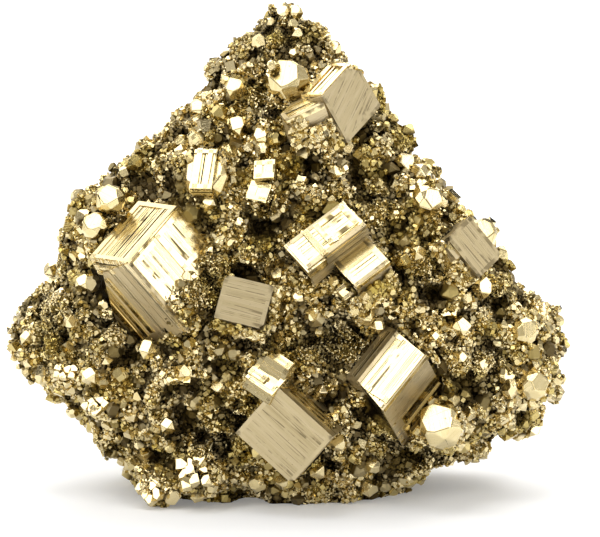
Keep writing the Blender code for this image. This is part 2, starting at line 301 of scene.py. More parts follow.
def add_softbox(name, direction, distance, size, brightness):
    """A rectangle of even light that faces the specimen."""
    data = bpy.data.lights.new(name, "AREA")
    data.shape = "RECTANGLE"
    data.size, data.size_y = size[0] * MM, size[1] * MM
    data.energy = brightness * math.pi * data.size * data.size_y
    light = bpy.data.objects.new(name, data)
    bpy.context.scene.collection.objects.link(light)
    away = toward(*direction)
    light.location = (AIM + away * distance) * MM
    light.rotation_euler = (-away).to_track_quat("-Z", "Y").to_euler()
    return light


for name, settings in SOFTBOXES.items():
    add_softbox(name, *settings)
bpy.context.scene.view_settings.view_transform = "Standard"
print("softboxes:", ", ".join(SOFTBOXES))

# %% [markdown]
# Pyrite is a metal to light: it has no colour under the surface, only a brassy mirror. Fresh faces
# are pale brass and older skin is deeper gold; a near-black brown is painted into the pits, seams,
# gaps and hollows as shade. On the big cubes growth left fine parallel lines, at right angles on
# neighbouring faces. Each mesh stores how far a point lies across those lines, so a one-dimensional
# noise on that number draws them on any face.

# %% Brass and growth lines
PALE_BRASS, BRASS, OLD_GOLD = (0.80, 0.675, 0.40), (0.65, 0.53, 0.25), (0.45, 0.34, 0.10)
# A near-black brown: painted shade in pits, seams, hollows, creases, gaps and low between crystals.
SHADE_TONE = (0.060, 0.037, 0.008)
LINE_STRETCH = 40.0  # how many times longer than wide a mark on a face is


def lines_across(bench, pitch_mm, detail, roughness):
    """Noise that changes only across the growth lines."""
    across, along = bench.attribute("across"), bench.attribute("along")
    flat = {0: across / pitch_mm, 1: along / (pitch_mm * LINE_STRETCH)}
    where = bench.node("ShaderNodeCombineXYZ", {}, flat)
    inputs = {"Vector": where, "Scale": 1.0, "Detail": detail, "Roughness": roughness}
    return bench.node("ShaderNodeTexNoise", {"noise_dimensions": "2D"}, inputs, 0)


def finish_face(bench, colour, roughness, bump, strength, distance_mm):
    relief = {"Strength": strength, "Distance": distance_mm * MM, "Height": bump}
    normal = bench.node("ShaderNodeBump", {}, relief)
    bench.surface({"Base Color": colour, "Roughness": roughness, "Metallic": 1.0, "Normal": normal})


print("brass from", PALE_BRASS, "to", OLD_GOLD)

# %% [markdown]
# The skin of the big cubes is bright and cut by dark seams, or dull and tan where the lines lie so
# close that they scatter the light. The seams and the pits are painted shade, and the dull skin is
# painted in darker tones as shade besides being rougher. Both are one recipe with a share of seams
# and a dullness, so that neighbouring faces of a cube still look like the same metal.

# %% Skin of the cubes
SHEEN_TONES = [PALE_BRASS, BRASS, OLD_GOLD]
# Darker tones of the same metal for the dull faces: painted shade, besides their real roughness.
SHADED_TAN_TONES = [(0.575, 0.483, 0.303), (0.48, 0.39, 0.22), (0.33, 0.26, 0.12)]
FINE_PITCH, BROAD_PITCH, SEAM_PITCH = 0.16, 0.9, 1.5  # mm across the lines
SEAM_EDGE = (0.006, 0.022)
ETCH_SIZE, PIT_SIZE, SEAM_PATCH_SIZE = 0.35, 0.8, 2.5  # mm


def striated_pyrite(name, tones, seam_share, dull):
    """The skin of the big cubes: bright, or dull where the lines lie close, with shade painted in seams and
    pits.
    """
    made, bench = new_finish(name)
    pale, mid, deep = tones
    fine = lines_across(bench, FINE_PITCH, 3.0, 0.6)
    broad = lines_across(bench, BROAD_PITCH, 2.0, 0.5)
    etched = bench.speckle(ETCH_SIZE, 3.0)
    tint = bench.attribute("tint")
    tone = bench.mix((broad.step(0.35, 0.65) * 0.45 + tint * 0.7).clamped(), pale, mid)
    aged = fine.step(0.60, 0.78) * (0.5 - 0.2 * dull) + tint.step(0.6, 1.0) * 0.5
    tone = bench.mix(aged.clamped(), tone, deep)
    # Painted shade: pits, and patches along the seams, are mixed towards a near-black brown and pressed in.
    pits = bench.speckle(PIT_SIZE, 4.0).step(0.68, 0.75)
    wander = lines_across(bench, SEAM_PITCH, 2.0, 0.5) - 0.5
    seams = 1 - wander.maths("ABSOLUTE", wander).step(*SEAM_EDGE)
    shaded = (pits * 0.5 + seams * bench.speckle(SEAM_PATCH_SIZE).step(0.38, 0.55) * seam_share).clamped()
    tone = bench.mix(shaded, tone, SHADE_TONE)
    rough = 0.10 + dull * 0.16 + fine * (0.14 + dull * 0.2) + etched.step(0.55, 0.75) * 0.10 + shaded * 0.35
    bump = fine * (0.6 + dull) + broad * 0.5 + etched * 0.12 - shaded
    finish_face(bench, tone, rough, bump, 0.45, 0.05)
    return made


STRIATED = striated_pyrite("striated_pyrite", SHEEN_TONES, 0.8, 0.0)
SMOOTH = striated_pyrite("smooth_pyrite", SHEEN_TONES, 0.0, 0.0)
# The dull skin: rougher, and painted darker as shade.
BRUSHED_SHADED = striated_pyrite("brushed_shaded_pyrite", SHADED_TAN_TONES, 0.5, 1.0)
print("skins:", STRIATED.name, SMOOTH.name, BRUSHED_SHADED.name)

# %% [markdown]
# The small crystals have the same metal, but each one its own tint, with rust in a few patches. Shade
# is painted on them low between them and in hollows, creases and gaps: each crystal knows how deep it
# sits, and takes the painted shade stored on the mass below. The broken mass under them is golden
# where it lies open and is painted nearly black in the hollows, as shade.

# %% Skin of the druse and the mass
RUST = (0.40, 0.29, 0.035)
# The last tone is near black: painted shade in the hollows, creases and gaps of the mass.
MASS_DARK, MASS_LIGHT, MASS_SHADE = (0.07, 0.046, 0.010), (0.22, 0.155, 0.04), (0.010, 0.007, 0.003)
TINT_CLOUD, DRUSE_PITCH, RIPPLE, GRAIN = 6.0, 0.22, 0.45, 0.5  # mm


def brass_tone(bench, tint):
    """Pale brass to old gold, by crystal and in soft clouds."""
    cloud = bench.speckle(TINT_CLOUD, 3.0).step(0.35, 0.70)
    tone = bench.mix((tint * 0.75 + cloud * 0.25).clamped(), PALE_BRASS, BRASS)
    deep = (tint.step(0.72, 1.0) * 0.65).clamped()
    return bench.mix(deep, tone, OLD_GOLD)


def druse_pyrite():
    """The small crystals: each has its own tint, and shade is painted low between them and in hollows."""
    made, bench = new_finish("druse_pyrite")
    lift, tint, stain, soil = [bench.attribute(name) for name in ("lift", "tint", "stain", "soil")]
    lines = lines_across(bench, DRUSE_PITCH, 2.0, 0.5)
    tone = bench.mix(stain, brass_tone(bench, tint), RUST)
    # Painted shade: the low parts of each crystal, and the hollows, creases and gaps stored on the mass.
    low = (1 - lift.step(-0.45, 0.05)) * 0.8
    shaded = (low + soil.step(0.12, 0.75) * 0.93).clamped()
    tone = bench.mix(shaded, tone, SHADE_TONE)
    rough = 0.13 + lines * 0.08 + shaded * 0.4 + stain * 0.15
    finish_face(bench, tone, rough, lines * 0.3 + bench.speckle(RIPPLE), 0.55, 0.10)
    return made


def dark_ground():
    """The broken mass between the crystals."""
    made, bench = new_finish("dark_ground")
    grain = bench.speckle(GRAIN, 4.0)
    open_tone = bench.mix(grain.step(0.35, 0.7), MASS_DARK, MASS_LIGHT)
    # Painted shade: nearly black where the mass stores it.
    tone = bench.mix(bench.attribute("soil").step(0.05, 0.5), open_tone, MASS_SHADE)
    finish_face(bench, tone, 0.38 + grain * 0.3, grain, 0.8, 0.25)
    return made


DRUSE, GROUND = druse_pyrite(), dark_ground()
print("skins:", DRUSE.name, GROUND.name)

# %% [markdown]
# The large crystals are cubes and blocks of pyrite, each turned its own way. A crystal is given by
# the middle of its main face, the way that face looks, the run of its growth lines and its size, the
# way a carver would set out a block. Everything about a crystal is then said in its own frame: x
# along its lines, y across them and z out of the main face.

# %% Placed crystals
Crystal = namedtuple("Crystal", "at turn size")


def frame_of(at, facing, along):
    """Origin and axes of a crystal: x along its growth lines, z out of its main face."""
    z = np.array(facing) / np.linalg.norm(facing)
    x = np.array(along) - z * np.dot(z, along)
    x = x / np.linalg.norm(x)
    return np.array(at), np.stack([x, np.cross(z, x), z], axis=1)


PLACED = {
    # middle of the main face, its facing, the growth lines, size along, across and into the mass
    "great_cube": ((-18.3, -21.8, 43.7), (0.56, -0.76, 0.33), (0.63, 0.13, -0.77), (16.2, 16.0, 16.0)),
    "top_cube": ((11.2, -15.5, 72.2), (0.74, -0.61, 0.28), (0.48, 0.77, 0.42), (12.4, 9.7, 7.0)),
    "top_cube_side": ((2.2, -20.2, 71.9), (-0.30, -0.35, 0.89), (0.89, 0.23, 0.39), (7.4, 5.0, 5.5)),
    "stair_upper": ((6.6, -24.3, 50.0), (-0.20, -0.75, 0.63), (0.79, 0.26, 0.56), (13.0, 6.8, 9.5)),
    "stair_middle": ((12.5, -24.5, 45.5), (-0.20, -0.75, 0.63), (0.79, 0.26, 0.56), (7.6, 8.0, 8.0)),
    "stair_lower": ((10.8, -25.1, 40.7), (-0.20, -0.75, 0.63), (0.79, 0.26, 0.56), (4.0, 3.0, 6.0)),
    "flat_cube": ((-7.6, -26.5, 38.5), (-0.06, -0.92, 0.39), (0.97, -0.15, -0.21), (8.8, 7.9, 8.5)),
    "right_cube": ((32.8, -20.1, 47.1), (0.45, -0.80, 0.40), (0.63, -0.03, -0.77), (9.0, 6.6, 8.0)),
    "ridge_cube": ((17.8, -26.9, 26.3), (-0.25, -0.76, 0.59), (-0.61, -0.35, -0.71), (13.4, 7.6, 15.5)),
    "low_cube": ((-0.6, -29.0, 15.3), (-0.22, -0.97, 0.01), (0.74, -0.17, -0.65), (13.2, 11.4, 12.0)),
    "low_block": ((-3.4, -26.6, 25.6), (-0.20, -0.76, 0.62), (0.74, -0.53, -0.41), (6.8, 5.4, 8.0)),
    "twin_low": ((-5.1, -21.0, 57.1), (-0.20, -0.76, 0.62), (0.31, 0.55, 0.77), (4.0, 3.8, 5.0)),
    "twin_high": ((-4.1, -19.8, 60.9), (-0.20, -0.76, 0.62), (0.04, 0.63, 0.78), (3.8, 3.8, 5.0)),
    "grooved_block": ((-14.8, -20.1, 61.0), (-0.20, -0.77, 0.60), (0.13, 0.59, 0.80), (8.3, 4.1, 3.0)),
    "back_cube": ((-12.0, 24.5, 37.0), (-0.35, 0.88, 0.32), (0.80, 0.45, -0.35), (12.0, 10.5, 10.0)),
    "back_block": ((19.0, 24.0, 22.0), (0.30, 0.93, 0.18), (0.60, -0.30, 0.74), (9.5, 9.0, 9.0)),
    "back_top": ((4.0, 19.0, 59.0), (-0.10, 0.80, 0.60), (0.90, -0.15, 0.40), (7.5, 7.0, 8.0)),
}
CRYSTALS = {
    name: Crystal(*frame_of(at, facing, along), np.array(size))
    for name, (at, facing, along, size) in PLACED.items()
}
print(len(CRYSTALS), "cubes and blocks")

# %% [markdown]
# Three of the cubes have a free side that isn't square to the main face, where growth stopped along
# a slope. Each slope is a thin block of its own in the frame of its cube, because cutting the cube
# there would leave a flat cut instead of grown bars.

# %% Slopes
SLOPES = {
    # a face inclined to the cube's own: the cube, its middle, facing and lines in the cube's frame, size
    "great_cube_slope": ("great_cube", (-9.75, 0.0, -4.40), (-0.92, 0.0, 0.39), (0, 1, 0), (15.4, 9.7, 4.0)),
    "ridge_cube_slope": ("ridge_cube", (-1.0, -5.3, -0.7), (0.0, -0.42, 0.91), (1, 0, 0), (12.0, 3.3, 4.0)),
    "top_cube_slope": ("top_cube", (-0.3, 5.5, -2.4), (0.0, 0.97, 0.24), (1, 0, 0), (11.0, 4.6, 2.0)),
}
for slope, (name, at, facing, along, size) in SLOPES.items():
    cube = CRYSTALS[name]
    placed = frame_of(cube.at + cube.turn @ at, cube.turn @ facing, cube.turn @ along)
    CRYSTALS[slope] = Crystal(*placed, np.array(size))
print("slopes:", ", ".join(SLOPES))

# %% [markdown]
# Other steps ask whether a place is taken by a large crystal, so that no small ones grow through
# its clean faces. The lower part of the great cube's face is the exception: druse has grown over it.

# %% Taken places
CRUST_EDGE = {
    # where druse has grown over a main face: places across the lines, and where it starts along them
    "great_cube": ((-7.7, -6.2, -1.6, 1.2, 4.1, 7.2), (0.3, 0.7, 0.5, -0.3, 1.1, 0.6)),
}
CRUST_DEPTH = 3.0  # druse is looked for this far in front of and behind the face
CRUST_PAST, CRUST_BESIDE = 1.5, 1.0  # and this far past the end and the sides of the face


def under_crust(name, local, margin=0.0):
    """Which points lie on or above the part of a main face that druse covers."""
    if name not in CRUST_EDGE:
        return np.zeros(len(local), bool)
    starts = np.interp(local[:, 1], *CRUST_EDGE[name])
    size = CRYSTALS[name].size
    near = (np.abs(local[:, 2]) < CRUST_DEPTH) & (np.abs(local[:, 1]) < size[1] / 2 + CRUST_BESIDE)
    return near & (local[:, 0] > starts + margin) & (local[:, 0] < size[0] / 2 + CRUST_PAST)


def inside_placed(points, margin):
    """Which points lie within a placed crystal grown by the margin."""
    margin = np.broadcast_to(margin, len(points))
    inside = np.zeros(len(points), bool)
    for name, crystal in CRYSTALS.items():
        local = (points - crystal.at) @ crystal.turn
        flat = (np.abs(local[:, :2]) < crystal.size[:2] / 2 + margin[:, None]).all(axis=1)
        held = flat & (local[:, 2] < margin) & (local[:, 2] > -crystal.size[2])
        inside |= held & ~under_crust(name, local)
    return inside


print("druse grows over", ", ".join(CRUST_EDGE))

# %% [markdown]
# Round crystals are the same mineral with so many faces that they read as beads. Some have one broad
# bare face that catches a lamp. They are listed by the middle of the bead, the way its broad face
# looks, its radius and how near the broad face is.

# %% Round crystals
LEFT_FACING, RIGHT_FACING, EDGE_FACING = (-0.20, -0.76, 0.62), (0.51, -0.79, 0.35), (0.40, -0.84, 0.37)
ROUND = [
    # middle, facing of the broad face, radius, and how near that face is in radii
    ((-14.0, -17.0, 58.9), LEFT_FACING, 4.3, 0.60), ((0.1, -13.6, 75.5), LEFT_FACING, 4.0, 0.68),
    ((26.8, -24.2, 16.0), LEFT_FACING, 4.2, 0.70), ((-31.2, -13.6, 54.4), LEFT_FACING, 2.7, 0.70),
    ((-33.9, -14.6, 49.8), LEFT_FACING, 2.5, 0.70), ((24.6, -15.0, 54.6), RIGHT_FACING, 2.8, 0.74),
    ((34.4, -13.4, 48.4), (0.20, -0.87, 0.47), 2.6, 0.76), ((41.8, -14.0, 30.8), EDGE_FACING, 2.6, 0.78),
    ((43.6, -16.2, 21.6), EDGE_FACING, 2.8, 0.78), ((-27.0, 19.6, 28.0), (-0.40, 0.84, 0.37), 4.4, 0.76),
    ((29.0, 19.0, 40.0), (0.40, 0.84, 0.37), 4.2, 0.76), ((-3.0, 21.6, 14.0), (0.00, 0.98, 0.20), 4.6, 0.78),
]
BEAD_FILL = 0.86  # many flat faces cut a bead to this share of its radius


def inside_round(points, margin):
    """Which points lie within a round crystal grown by the margin."""
    inside = np.zeros(len(points), bool)
    for at, _, radius, _ in ROUND:
        inside |= np.linalg.norm(points - np.array(at), axis=1) < radius * BEAD_FILL + margin
    return inside


print(len(ROUND), "round crystals")

# %% [markdown]
# Some sides of the big cubes stand free, because an open hollow lies beside them. Each such side is
# listed as a window: an outline on one face of a cube that must be clear when the specimen is seen
# from its best side. Ground that would hide a window is pushed back along the line of sight, into
# the cube. Cutting the ground with a boolean would leave sharp walls round the cube instead.

# %% Windows
WINDOWS = [
    # crystal, axis out of the face, side, and the outline on the other two axes in order
    ("great_cube", 1, -1, [
        (-8.6, 0), (-8.2, -8.8), (-1.9, -13.4), (1.3, -15.7), (7.2, -15.7), (7.9, -9.7), (0.4, 0),
    ]),
    ("great_cube_slope", 2, 1, [(-7.7, -4.8), (-7.7, 4.8), (7.7, 4.8), (7.7, -4.8)]),
    ("great_cube", 2, 1, [(-8.6, -7.7), (-8.5, 6.8), (0.6, 7.2), (0.6, -7.7)]),
    ("ridge_cube", 1, 1, [(-5.6, 0), (-6.6, -11.6), (-0.9, -14.3), (4.8, -15.4), (6.0, -13.9), (6.4, 0)]),
    ("ridge_cube", 2, 1, [(-6.7, -3.6), (-6.0, 3.9), (6.5, 3.9), (6.1, -3.0)]),
    ("ridge_cube_slope", 2, 1, [(-6.0, -1.6), (-6.0, 1.6), (5.0, 1.6), (4.4, -1.6)]),
    ("top_cube", 2, 1, [
        (-7.1, -3.2), (-7.4, 2.8), (-5.8, 5.0), (2.8, 5.3), (6.2, 2.9), (5.7, -4.6), (-4.7, -4.1),
    ]),
    ("top_cube_slope", 2, 1, [(-5.2, -3.2), (-5.2, 3.2), (5.2, 3.2), (5.2, -3.2)]),
    ("top_cube_side", 2, 1, [(-3.8, -2.3), (-3.8, 3.0), (1.0, 5.0), (3.9, 2.1), (3.8, -2.6), (-0.7, -3.1)]),
    ("top_cube_side", 1, -1, [(-0.3, 0), (-0.3, -3.0), (3.8, -3.0), (3.8, 0)]),
    ("stair_upper", 2, 1, [(-6.4, 3.4), (5.9, 2.6), (5.9, -3.4), (-6.4, -3.4)]),
    ("stair_upper", 1, -1, [(-6.0, 0), (-5.0, -4.5), (6.0, -4.5), (6.0, 0)]),
    ("stair_middle", 2, 1, [(-2.6, 0.0), (3.6, 0.0), (3.6, -3.9), (-2.6, -3.9)]),
    ("stair_middle", 1, -1, [(-3.0, 0), (-3.0, -3.0), (3.6, -3.0), (3.6, 0)]),
    ("flat_cube", 2, 1, [(-4.3, -3.8), (-4.3, 3.8), (4.3, 3.8), (4.3, -3.8)]),
    ("right_cube", 2, 1, [(-4.4, 3.4), (-4.5, -4.0), (-2.2, -4.4), (3.3, -3.0), (5.0, 0.4), (4.6, 3.2)]),
    ("low_cube", 2, 1, [(-5.5, 5.3), (-6.6, -5.6), (6.1, -5.6), (6.6, -4.8), (6.6, 5.2)]),
    ("low_cube", 1, 1, [(-5.5, 0), (-5.1, -3.7), (-1.7, -9.6), (0.9, -9.2), (6.6, 0)]),
    ("low_block", 2, 1, [(-3.2, -2.6), (-3.2, 3.0), (3.2, 3.0), (3.2, -2.6)]),
    ("grooved_block", 2, 1, [(-4.1, -2.0), (-4.1, 2.0), (4.1, 2.0), (4.1, -2.0)]),
    ("twin_low", 2, 1, [(-2, -1.9), (-2, 1.9), (2, 1.9), (2, -1.9)]),
    ("twin_high", 2, 1, [(-1.9, -1.9), (-1.9, 1.9), (1.9, 1.9), (1.9, -1.9)]),
]
CLEAR_DEPTH = 0.9  # how far behind the face the ground is pushed
CLEAR_SOFT = 1.2  # how far round the outline the push fades
CLEAR_REACH = 16.0  # ground further in front of the face than this is left alone


def outside_outline(points, outline):
    """How far each flat point lies outside a convex outline, negative inside it."""
    corners = np.array(outline, float)
    if np.cross(corners[1] - corners[0], corners[2] - corners[1]) < 0:
        corners = corners[::-1]
    far = np.full(len(points), -1e9)
    for a, b in zip(corners, np.roll(corners, -1, axis=0)):
        edge = (b - a) / np.linalg.norm(b - a)
        far = np.maximum(far, (points - a) @ np.array([edge[1], -edge[0]]))
    return far


def clear_windows(points):
    """Points moved away from the eye until none of them hides a window."""
    for name, axis, side, outline in WINDOWS:
        crystal = CRYSTALS[name]
        out = crystal.turn[:, axis] * side
        reach = 0.0 if axis == 2 else crystal.size[axis] / 2
        rays = points - EYE
        share = ((crystal.at + out * reach - EYE) @ out) / (rays @ out)
        on_face = (EYE + rays * share[:, None] - crystal.at) @ crystal.turn
        flat = np.delete(on_face, axis, axis=1)
        length = np.linalg.norm(rays, axis=1)
        in_front = (share - 1.0) * length
        weight = np.clip(1.0 - outside_outline(flat, outline) / CLEAR_SOFT, 0.0, 1.0)
        weight *= (in_front > -CLEAR_DEPTH) & (in_front < CLEAR_REACH) & (rays @ out < 0)
        move = (in_front + CLEAR_DEPTH) * weight
        points = points + rays / length[:, None] * move[:, None]
    return points


print(len(WINDOWS), "windows")

# %% [markdown]
# The round crystals need a clear line of sight too. The mass beside a slope is lowered as well, for
# another reason: a clean face mirrors what is next to it, and dark ground there would turn it brown.

# %% Clear beads and moats
BEAD_CORE, BEAD_EDGE, BEAD_BACK = 0.95, 0.2, 0.2  # in radii: cleared disc, its soft edge, push behind
BEAD_REACH = 9.0
MOATS = {"great_cube_slope": 5.5, "ridge_cube_slope": 5.0, "top_cube_slope": 3.5, "top_cube_side": 4.0}
MOAT_DEPTH, MOAT_RISE, MOAT_SOFT, MOAT_TOP = 1.3, 0.25, 1.5, 7.0


def clear_beads(points):
    """The windows' push for the round crystals on the best side."""
    for at, facing, radius, _ in ROUND:
        if facing[1] > 0:
            continue
        rays = points - EYE
        length = np.linalg.norm(rays, axis=1)
        rays = rays / length[:, None]
        depth = rays @ (np.array(at) - EYE)
        beside = np.linalg.norm(EYE + rays * depth[:, None] - np.array(at), axis=1)
        weight = np.clip((radius * BEAD_CORE - beside) / (radius * BEAD_EDGE), 0.0, 1.0)
        weight = weight * (depth - length < BEAD_REACH)
        move = np.maximum(depth + radius * BEAD_BACK - length, 0.0)
        points = points + rays * (move * weight)[:, None]
    return points


def sink_moats(points):
    """Lower the mass just beyond the faces that must not mirror it."""
    for name, reach in MOATS.items():
        crystal = CRYSTALS[name]
        local = (points - crystal.at) @ crystal.turn
        beyond = np.maximum(np.abs(local[:, :2]) - crystal.size[:2] / 2, 0.0).max(axis=1)
        weight = np.clip((reach - beyond) / MOAT_SOFT, 0.0, 1.0) * (local[:, 2] < MOAT_TOP)
        lowered = np.minimum(local[:, 2], -MOAT_DEPTH + MOAT_RISE * beyond)
        local[:, 2] += (lowered - local[:, 2]) * weight
        points = local @ crystal.turn.T + crystal.at
    return points


print("moats beside:", ", ".join(MOATS))

# %% [markdown]
# The ground mass carries everything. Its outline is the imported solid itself: a copy of that mesh is
# rebuilt as an even net, so that it can be roughened everywhere alike. Sculpting by hand would give
# the same knobs, but the net's points can be moved by rules, which give the same mass every time.

# %% Even net
NET = 0.78
WELD = 1e-6


def merged_copy(node):
    """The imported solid's mesh with its split corners joined."""
    bm = bmesh.new()
    bm.from_mesh(node.data)
    bmesh.ops.remove_doubles(bm, verts=bm.verts, dist=WELD)
    mesh = bpy.data.meshes.new("ground_mass")
    bm.to_mesh(mesh)
    bm.free()
    return mesh


def even_net(mesh, size):
    """The same surface as a net of even squares."""
    carrier = bpy.data.objects.new("ground_mass", mesh)
    bpy.context.scene.collection.objects.link(carrier)
    remesh = carrier.modifiers.new("even_net", "REMESH")
    remesh.mode = "VOXEL"
    remesh.voxel_size = size * MM
    graph = bpy.context.evaluated_depsgraph_get()
    made = bpy.data.meshes.new_from_object(carrier.evaluated_get(graph))
    carrier.modifiers.clear()
    carrier.data = made
    return carrier


def read_points(mesh, what="vertices", field="co"):
    items = getattr(mesh, what)
    values = np.empty(len(items) * 3, np.float32)
    items.foreach_get(field, values)
    return values.reshape(-1, 3).astype(float)


def tree_of(mesh):
    """The mesh as a tree that rays can be sent at, in mm."""
    faces = [list(p.vertices) for p in mesh.polygons]
    return BVHTree.FromPolygons([Vector(p) for p in read_points(mesh) / MM], faces)


net = even_net(merged_copy(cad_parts[NODE]), NET)
print("net of", len(net.data.polygons), "faces")

# %% [markdown]
# Druse grows in round lumps with creases between them, and has uneven gaps where dark ground shows;
# creases and gaps also get painted shade.
# The lumps are cells of a Voronoi pattern: the distance to the nearest wall gives the crease and the
# distance to the middle gives the ball. A soft noise makes the gaps.

# %% Lumps and gaps
BALLS = [(4.7, 2.3), (2.4, 0.8)]  # size and height of the round lumps that druse covers
CREASE = 0.45  # how wide the creases between lumps are, as a share of their size
CREASE_SHARE, BALL_SHARE = 0.6, 0.4  # how much of the height is crease and how much is ball
GAP_SIZE, GAP_LEVEL, GAP_EDGE = 3.6, 0.33, 0.14


def soft_noise(points, size, seed):
    shift = Vector((seed * 3.7, seed * 1.9, seed * 5.3))
    return np.array([noise.noise(Vector(p) / size + shift) for p in points])


def balls(points):
    """How far each point lies under the tops of the round lumps, in mm."""
    drop = np.zeros(len(points))
    for size, height in BALLS:
        near = np.array([noise.voronoi(Vector(p) / size)[0][:2] for p in points])
        crease = np.clip(1.0 - (near[:, 1] - near[:, 0]) / CREASE, 0.0, 1.0)
        drop += height * (CREASE_SHARE * crease**1.3 + BALL_SHARE * np.clip(near[:, 0], 0, 1) ** 2)
    return drop


def gaps(points):
    """0 in most places, 1 in the uneven dark gaps."""
    value = soft_noise(points, GAP_SIZE, 5) + 0.35 * soft_noise(points, GAP_SIZE / 2.4, 6)
    return np.clip((value - GAP_LEVEL) / GAP_EDGE, 0.0, 1.0)


print("lumps of", [size for size, _ in BALLS], "mm")

# %% [markdown]
# Hollows are pushed in where the best side has its dark gaps. Each is a bowl with an uneven edge, at
# the place where a ray from the front meets the mass, so that it works wherever the surface lies.
# The crust over the great cube is the opposite: there the mass is laid over the face.

# %% Crust and hollows
HOLLOWS = [
    # x, height, radius and depth of a dark gap in the best side
    (-4.1, 50.9, 3.2, 6.0), (25.6, 37.8, 3.4, 7.0), (-15.3, 12.9, 1.8, 4.5), (-28.4, 27.7, 2.7, 5.0),
    (-13.1, 64.2, 1.8, 4.0), (17.5, 58.5, 2.0, 4.0), (-3.2, 35.5, 2.2, 5.0), (28.6, 49.8, 2.6, 5.0),
    (13.0, 30.5, 2.2, 4.5), (-18.9, 65.0, 1.8, 3.5), (12.0, 59.5, 2.2, 4.0), (-24.0, 33.5, 2.2, 4.0),
    (-32.0, 25.9, 2.2, 4.5), (-6.4, 79.2, 1.7, 3.5), (14.2, 23.5, 2.3, 4.5), (-17.5, 17.0, 1.2, 3.0),
    (-17.2, 8.5, 1.2, 3.0), (33.5, 20.0, 1.8, 3.5), (-13.1, 25.8, 1.8, 3.5), (19.0, 42.0, 2.2, 4.0),
    (4.5, 62.0, 1.8, 3.5), (-26.0, 58.0, 1.8, 3.5), (-30.0, 11.5, 1.8, 3.5), (7.5, 19.5, 1.6, 3.5),
]
HOLLOW_SPREAD, HOLLOW_EDGE = 1.05, 0.55
BOWL_POWER = 1.2
FRONT_START = -100.0
CRUST_THICKNESS, CRUST_DROP, CRUST_MARGIN = 1.5, 0.8, 0.2


def raise_crust(points, drop):
    """Lay the druse that covers part of a main face over it."""
    for name in CRUST_EDGE:
        crystal = CRYSTALS[name]
        local = (points - crystal.at) @ crystal.turn
        over = under_crust(name, local, CRUST_MARGIN)
        height = np.maximum(local[:, 2], CRUST_THICKNESS - CRUST_DROP * drop)
        local[:, 2] = np.where(over, height, local[:, 2])
        points = local @ crystal.turn.T + crystal.at
    return points


def sink_hollows(points, solid):
    """How far each point is pushed back from the best side."""
    push, uneven = np.zeros(len(points)), HOLLOW_EDGE * soft_noise(points, 2.6, 8)
    for x, height, radius, depth in HOLLOWS:
        hit = solid.ray_cast(Vector((x, FRONT_START, height)), Vector((0.0, 1.0, 0.0)))[0]
        if hit is None:
            continue
        away = np.linalg.norm(points - np.array(hit), axis=1) / (radius * HOLLOW_SPREAD) + uneven
        push = np.maximum(push, depth * np.clip(1.0 - away**2, 0.0, 1.0) ** BOWL_POWER)
    return push


print(len(HOLLOWS), "hollows")

# %% [markdown]
# Now the net becomes the mass. It is pulled in by less than a millimetre, so that the crystals grown
# on it reach the true outline, and lies still lower under the big cubes. Each point also stores how
# much shade is painted on it and on the crystals grown there. The base stays flat on the table.

# %% Ground mass
PULL_IN = -0.35
CALM_MARGIN, CALM_DROP = 0.5, 0.5  # round the big cubes the mass has no lumps and lies lower
GAP_DEPTH = 2.2
BASE_BAND, BASE_FACING, TABLE_LEVEL = 0.6, -0.5, 0.02
CROWN_HEIGHT, CROWN_STRETCH = 77.0, 0.12  # the top lump stands this much taller above this height
# the most painted shade that a place holds
MOST_PAINTED_SHADE = 0.9


def painted_shade_of(push, drop, gap):
    """How much shade is painted in hollows, in creases and in gaps."""
    creased = np.clip((drop - 1.1) / 1.4, 0.0, 0.7)
    return np.clip(np.clip(push / 2.8, 0.0, MOST_PAINTED_SHADE) + creased + gap * 0.8, 0.0, MOST_PAINTED_SHADE)


def move_net(points, normals, solid):
    """Where the points of the net end, and the shade painted there."""
    calm = inside_placed(points, CALM_MARGIN)
    on_base = (points[:, 2] < BASE_BAND) & (normals[:, 2] < BASE_FACING)
    drop, gap = balls(points), gaps(points)
    push = sink_hollows(points, solid) * ~calm
    lift = np.where(calm, -PULL_IN - CALM_DROP, -PULL_IN - drop)
    lift[on_base] = 0.0
    lift -= GAP_DEPTH * gap * ~calm * ~on_base
    moved = raise_crust(points + normals * lift[:, None], drop)
    moved[:, 1] += push
    moved[:, 2] += CROWN_STRETCH * np.maximum(moved[:, 2] - CROWN_HEIGHT, 0.0)
    moved = np.where((calm | on_base)[:, None], moved, sink_moats(moved))
    moved = clear_beads(clear_windows(moved))
    moved[:, 2] = np.where(on_base, 0.0, np.maximum(moved[:, 2], TABLE_LEVEL))
    return moved, painted_shade_of(push, drop, gap)


def grow_ground(carrier):
    mesh = carrier.data
    points, normals = read_points(mesh) / MM, read_points(mesh, "vertex_normals", "vector")
    moved, soil = move_net(points, normals, tree_of(mesh))
    mesh.vertices.foreach_set("co", (moved * MM).ravel())
    mesh.attributes.new("soil", "FLOAT", "POINT").data.foreach_set("value", soil.astype(np.float32))
    mesh.update()
    mesh.materials.clear()
    mesh.materials.append(GROUND)
    return carrier


ground = grow_ground(net)
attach(ground, "root")
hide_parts(NODE)
print("ground mass:", len(ground.data.polygons), "faces")

# %% [markdown]
# Each big cube is a stack of thin bars laid side by side, the way its faces really grew: bar after
# bar along the growth lines, each ending a little sooner or lying a little lower than the last. The
# bars of neighbouring faces run at right angles. A height map on a box would give the lines too, but
# loose bars also give the stepped edges and the dark slots between them.

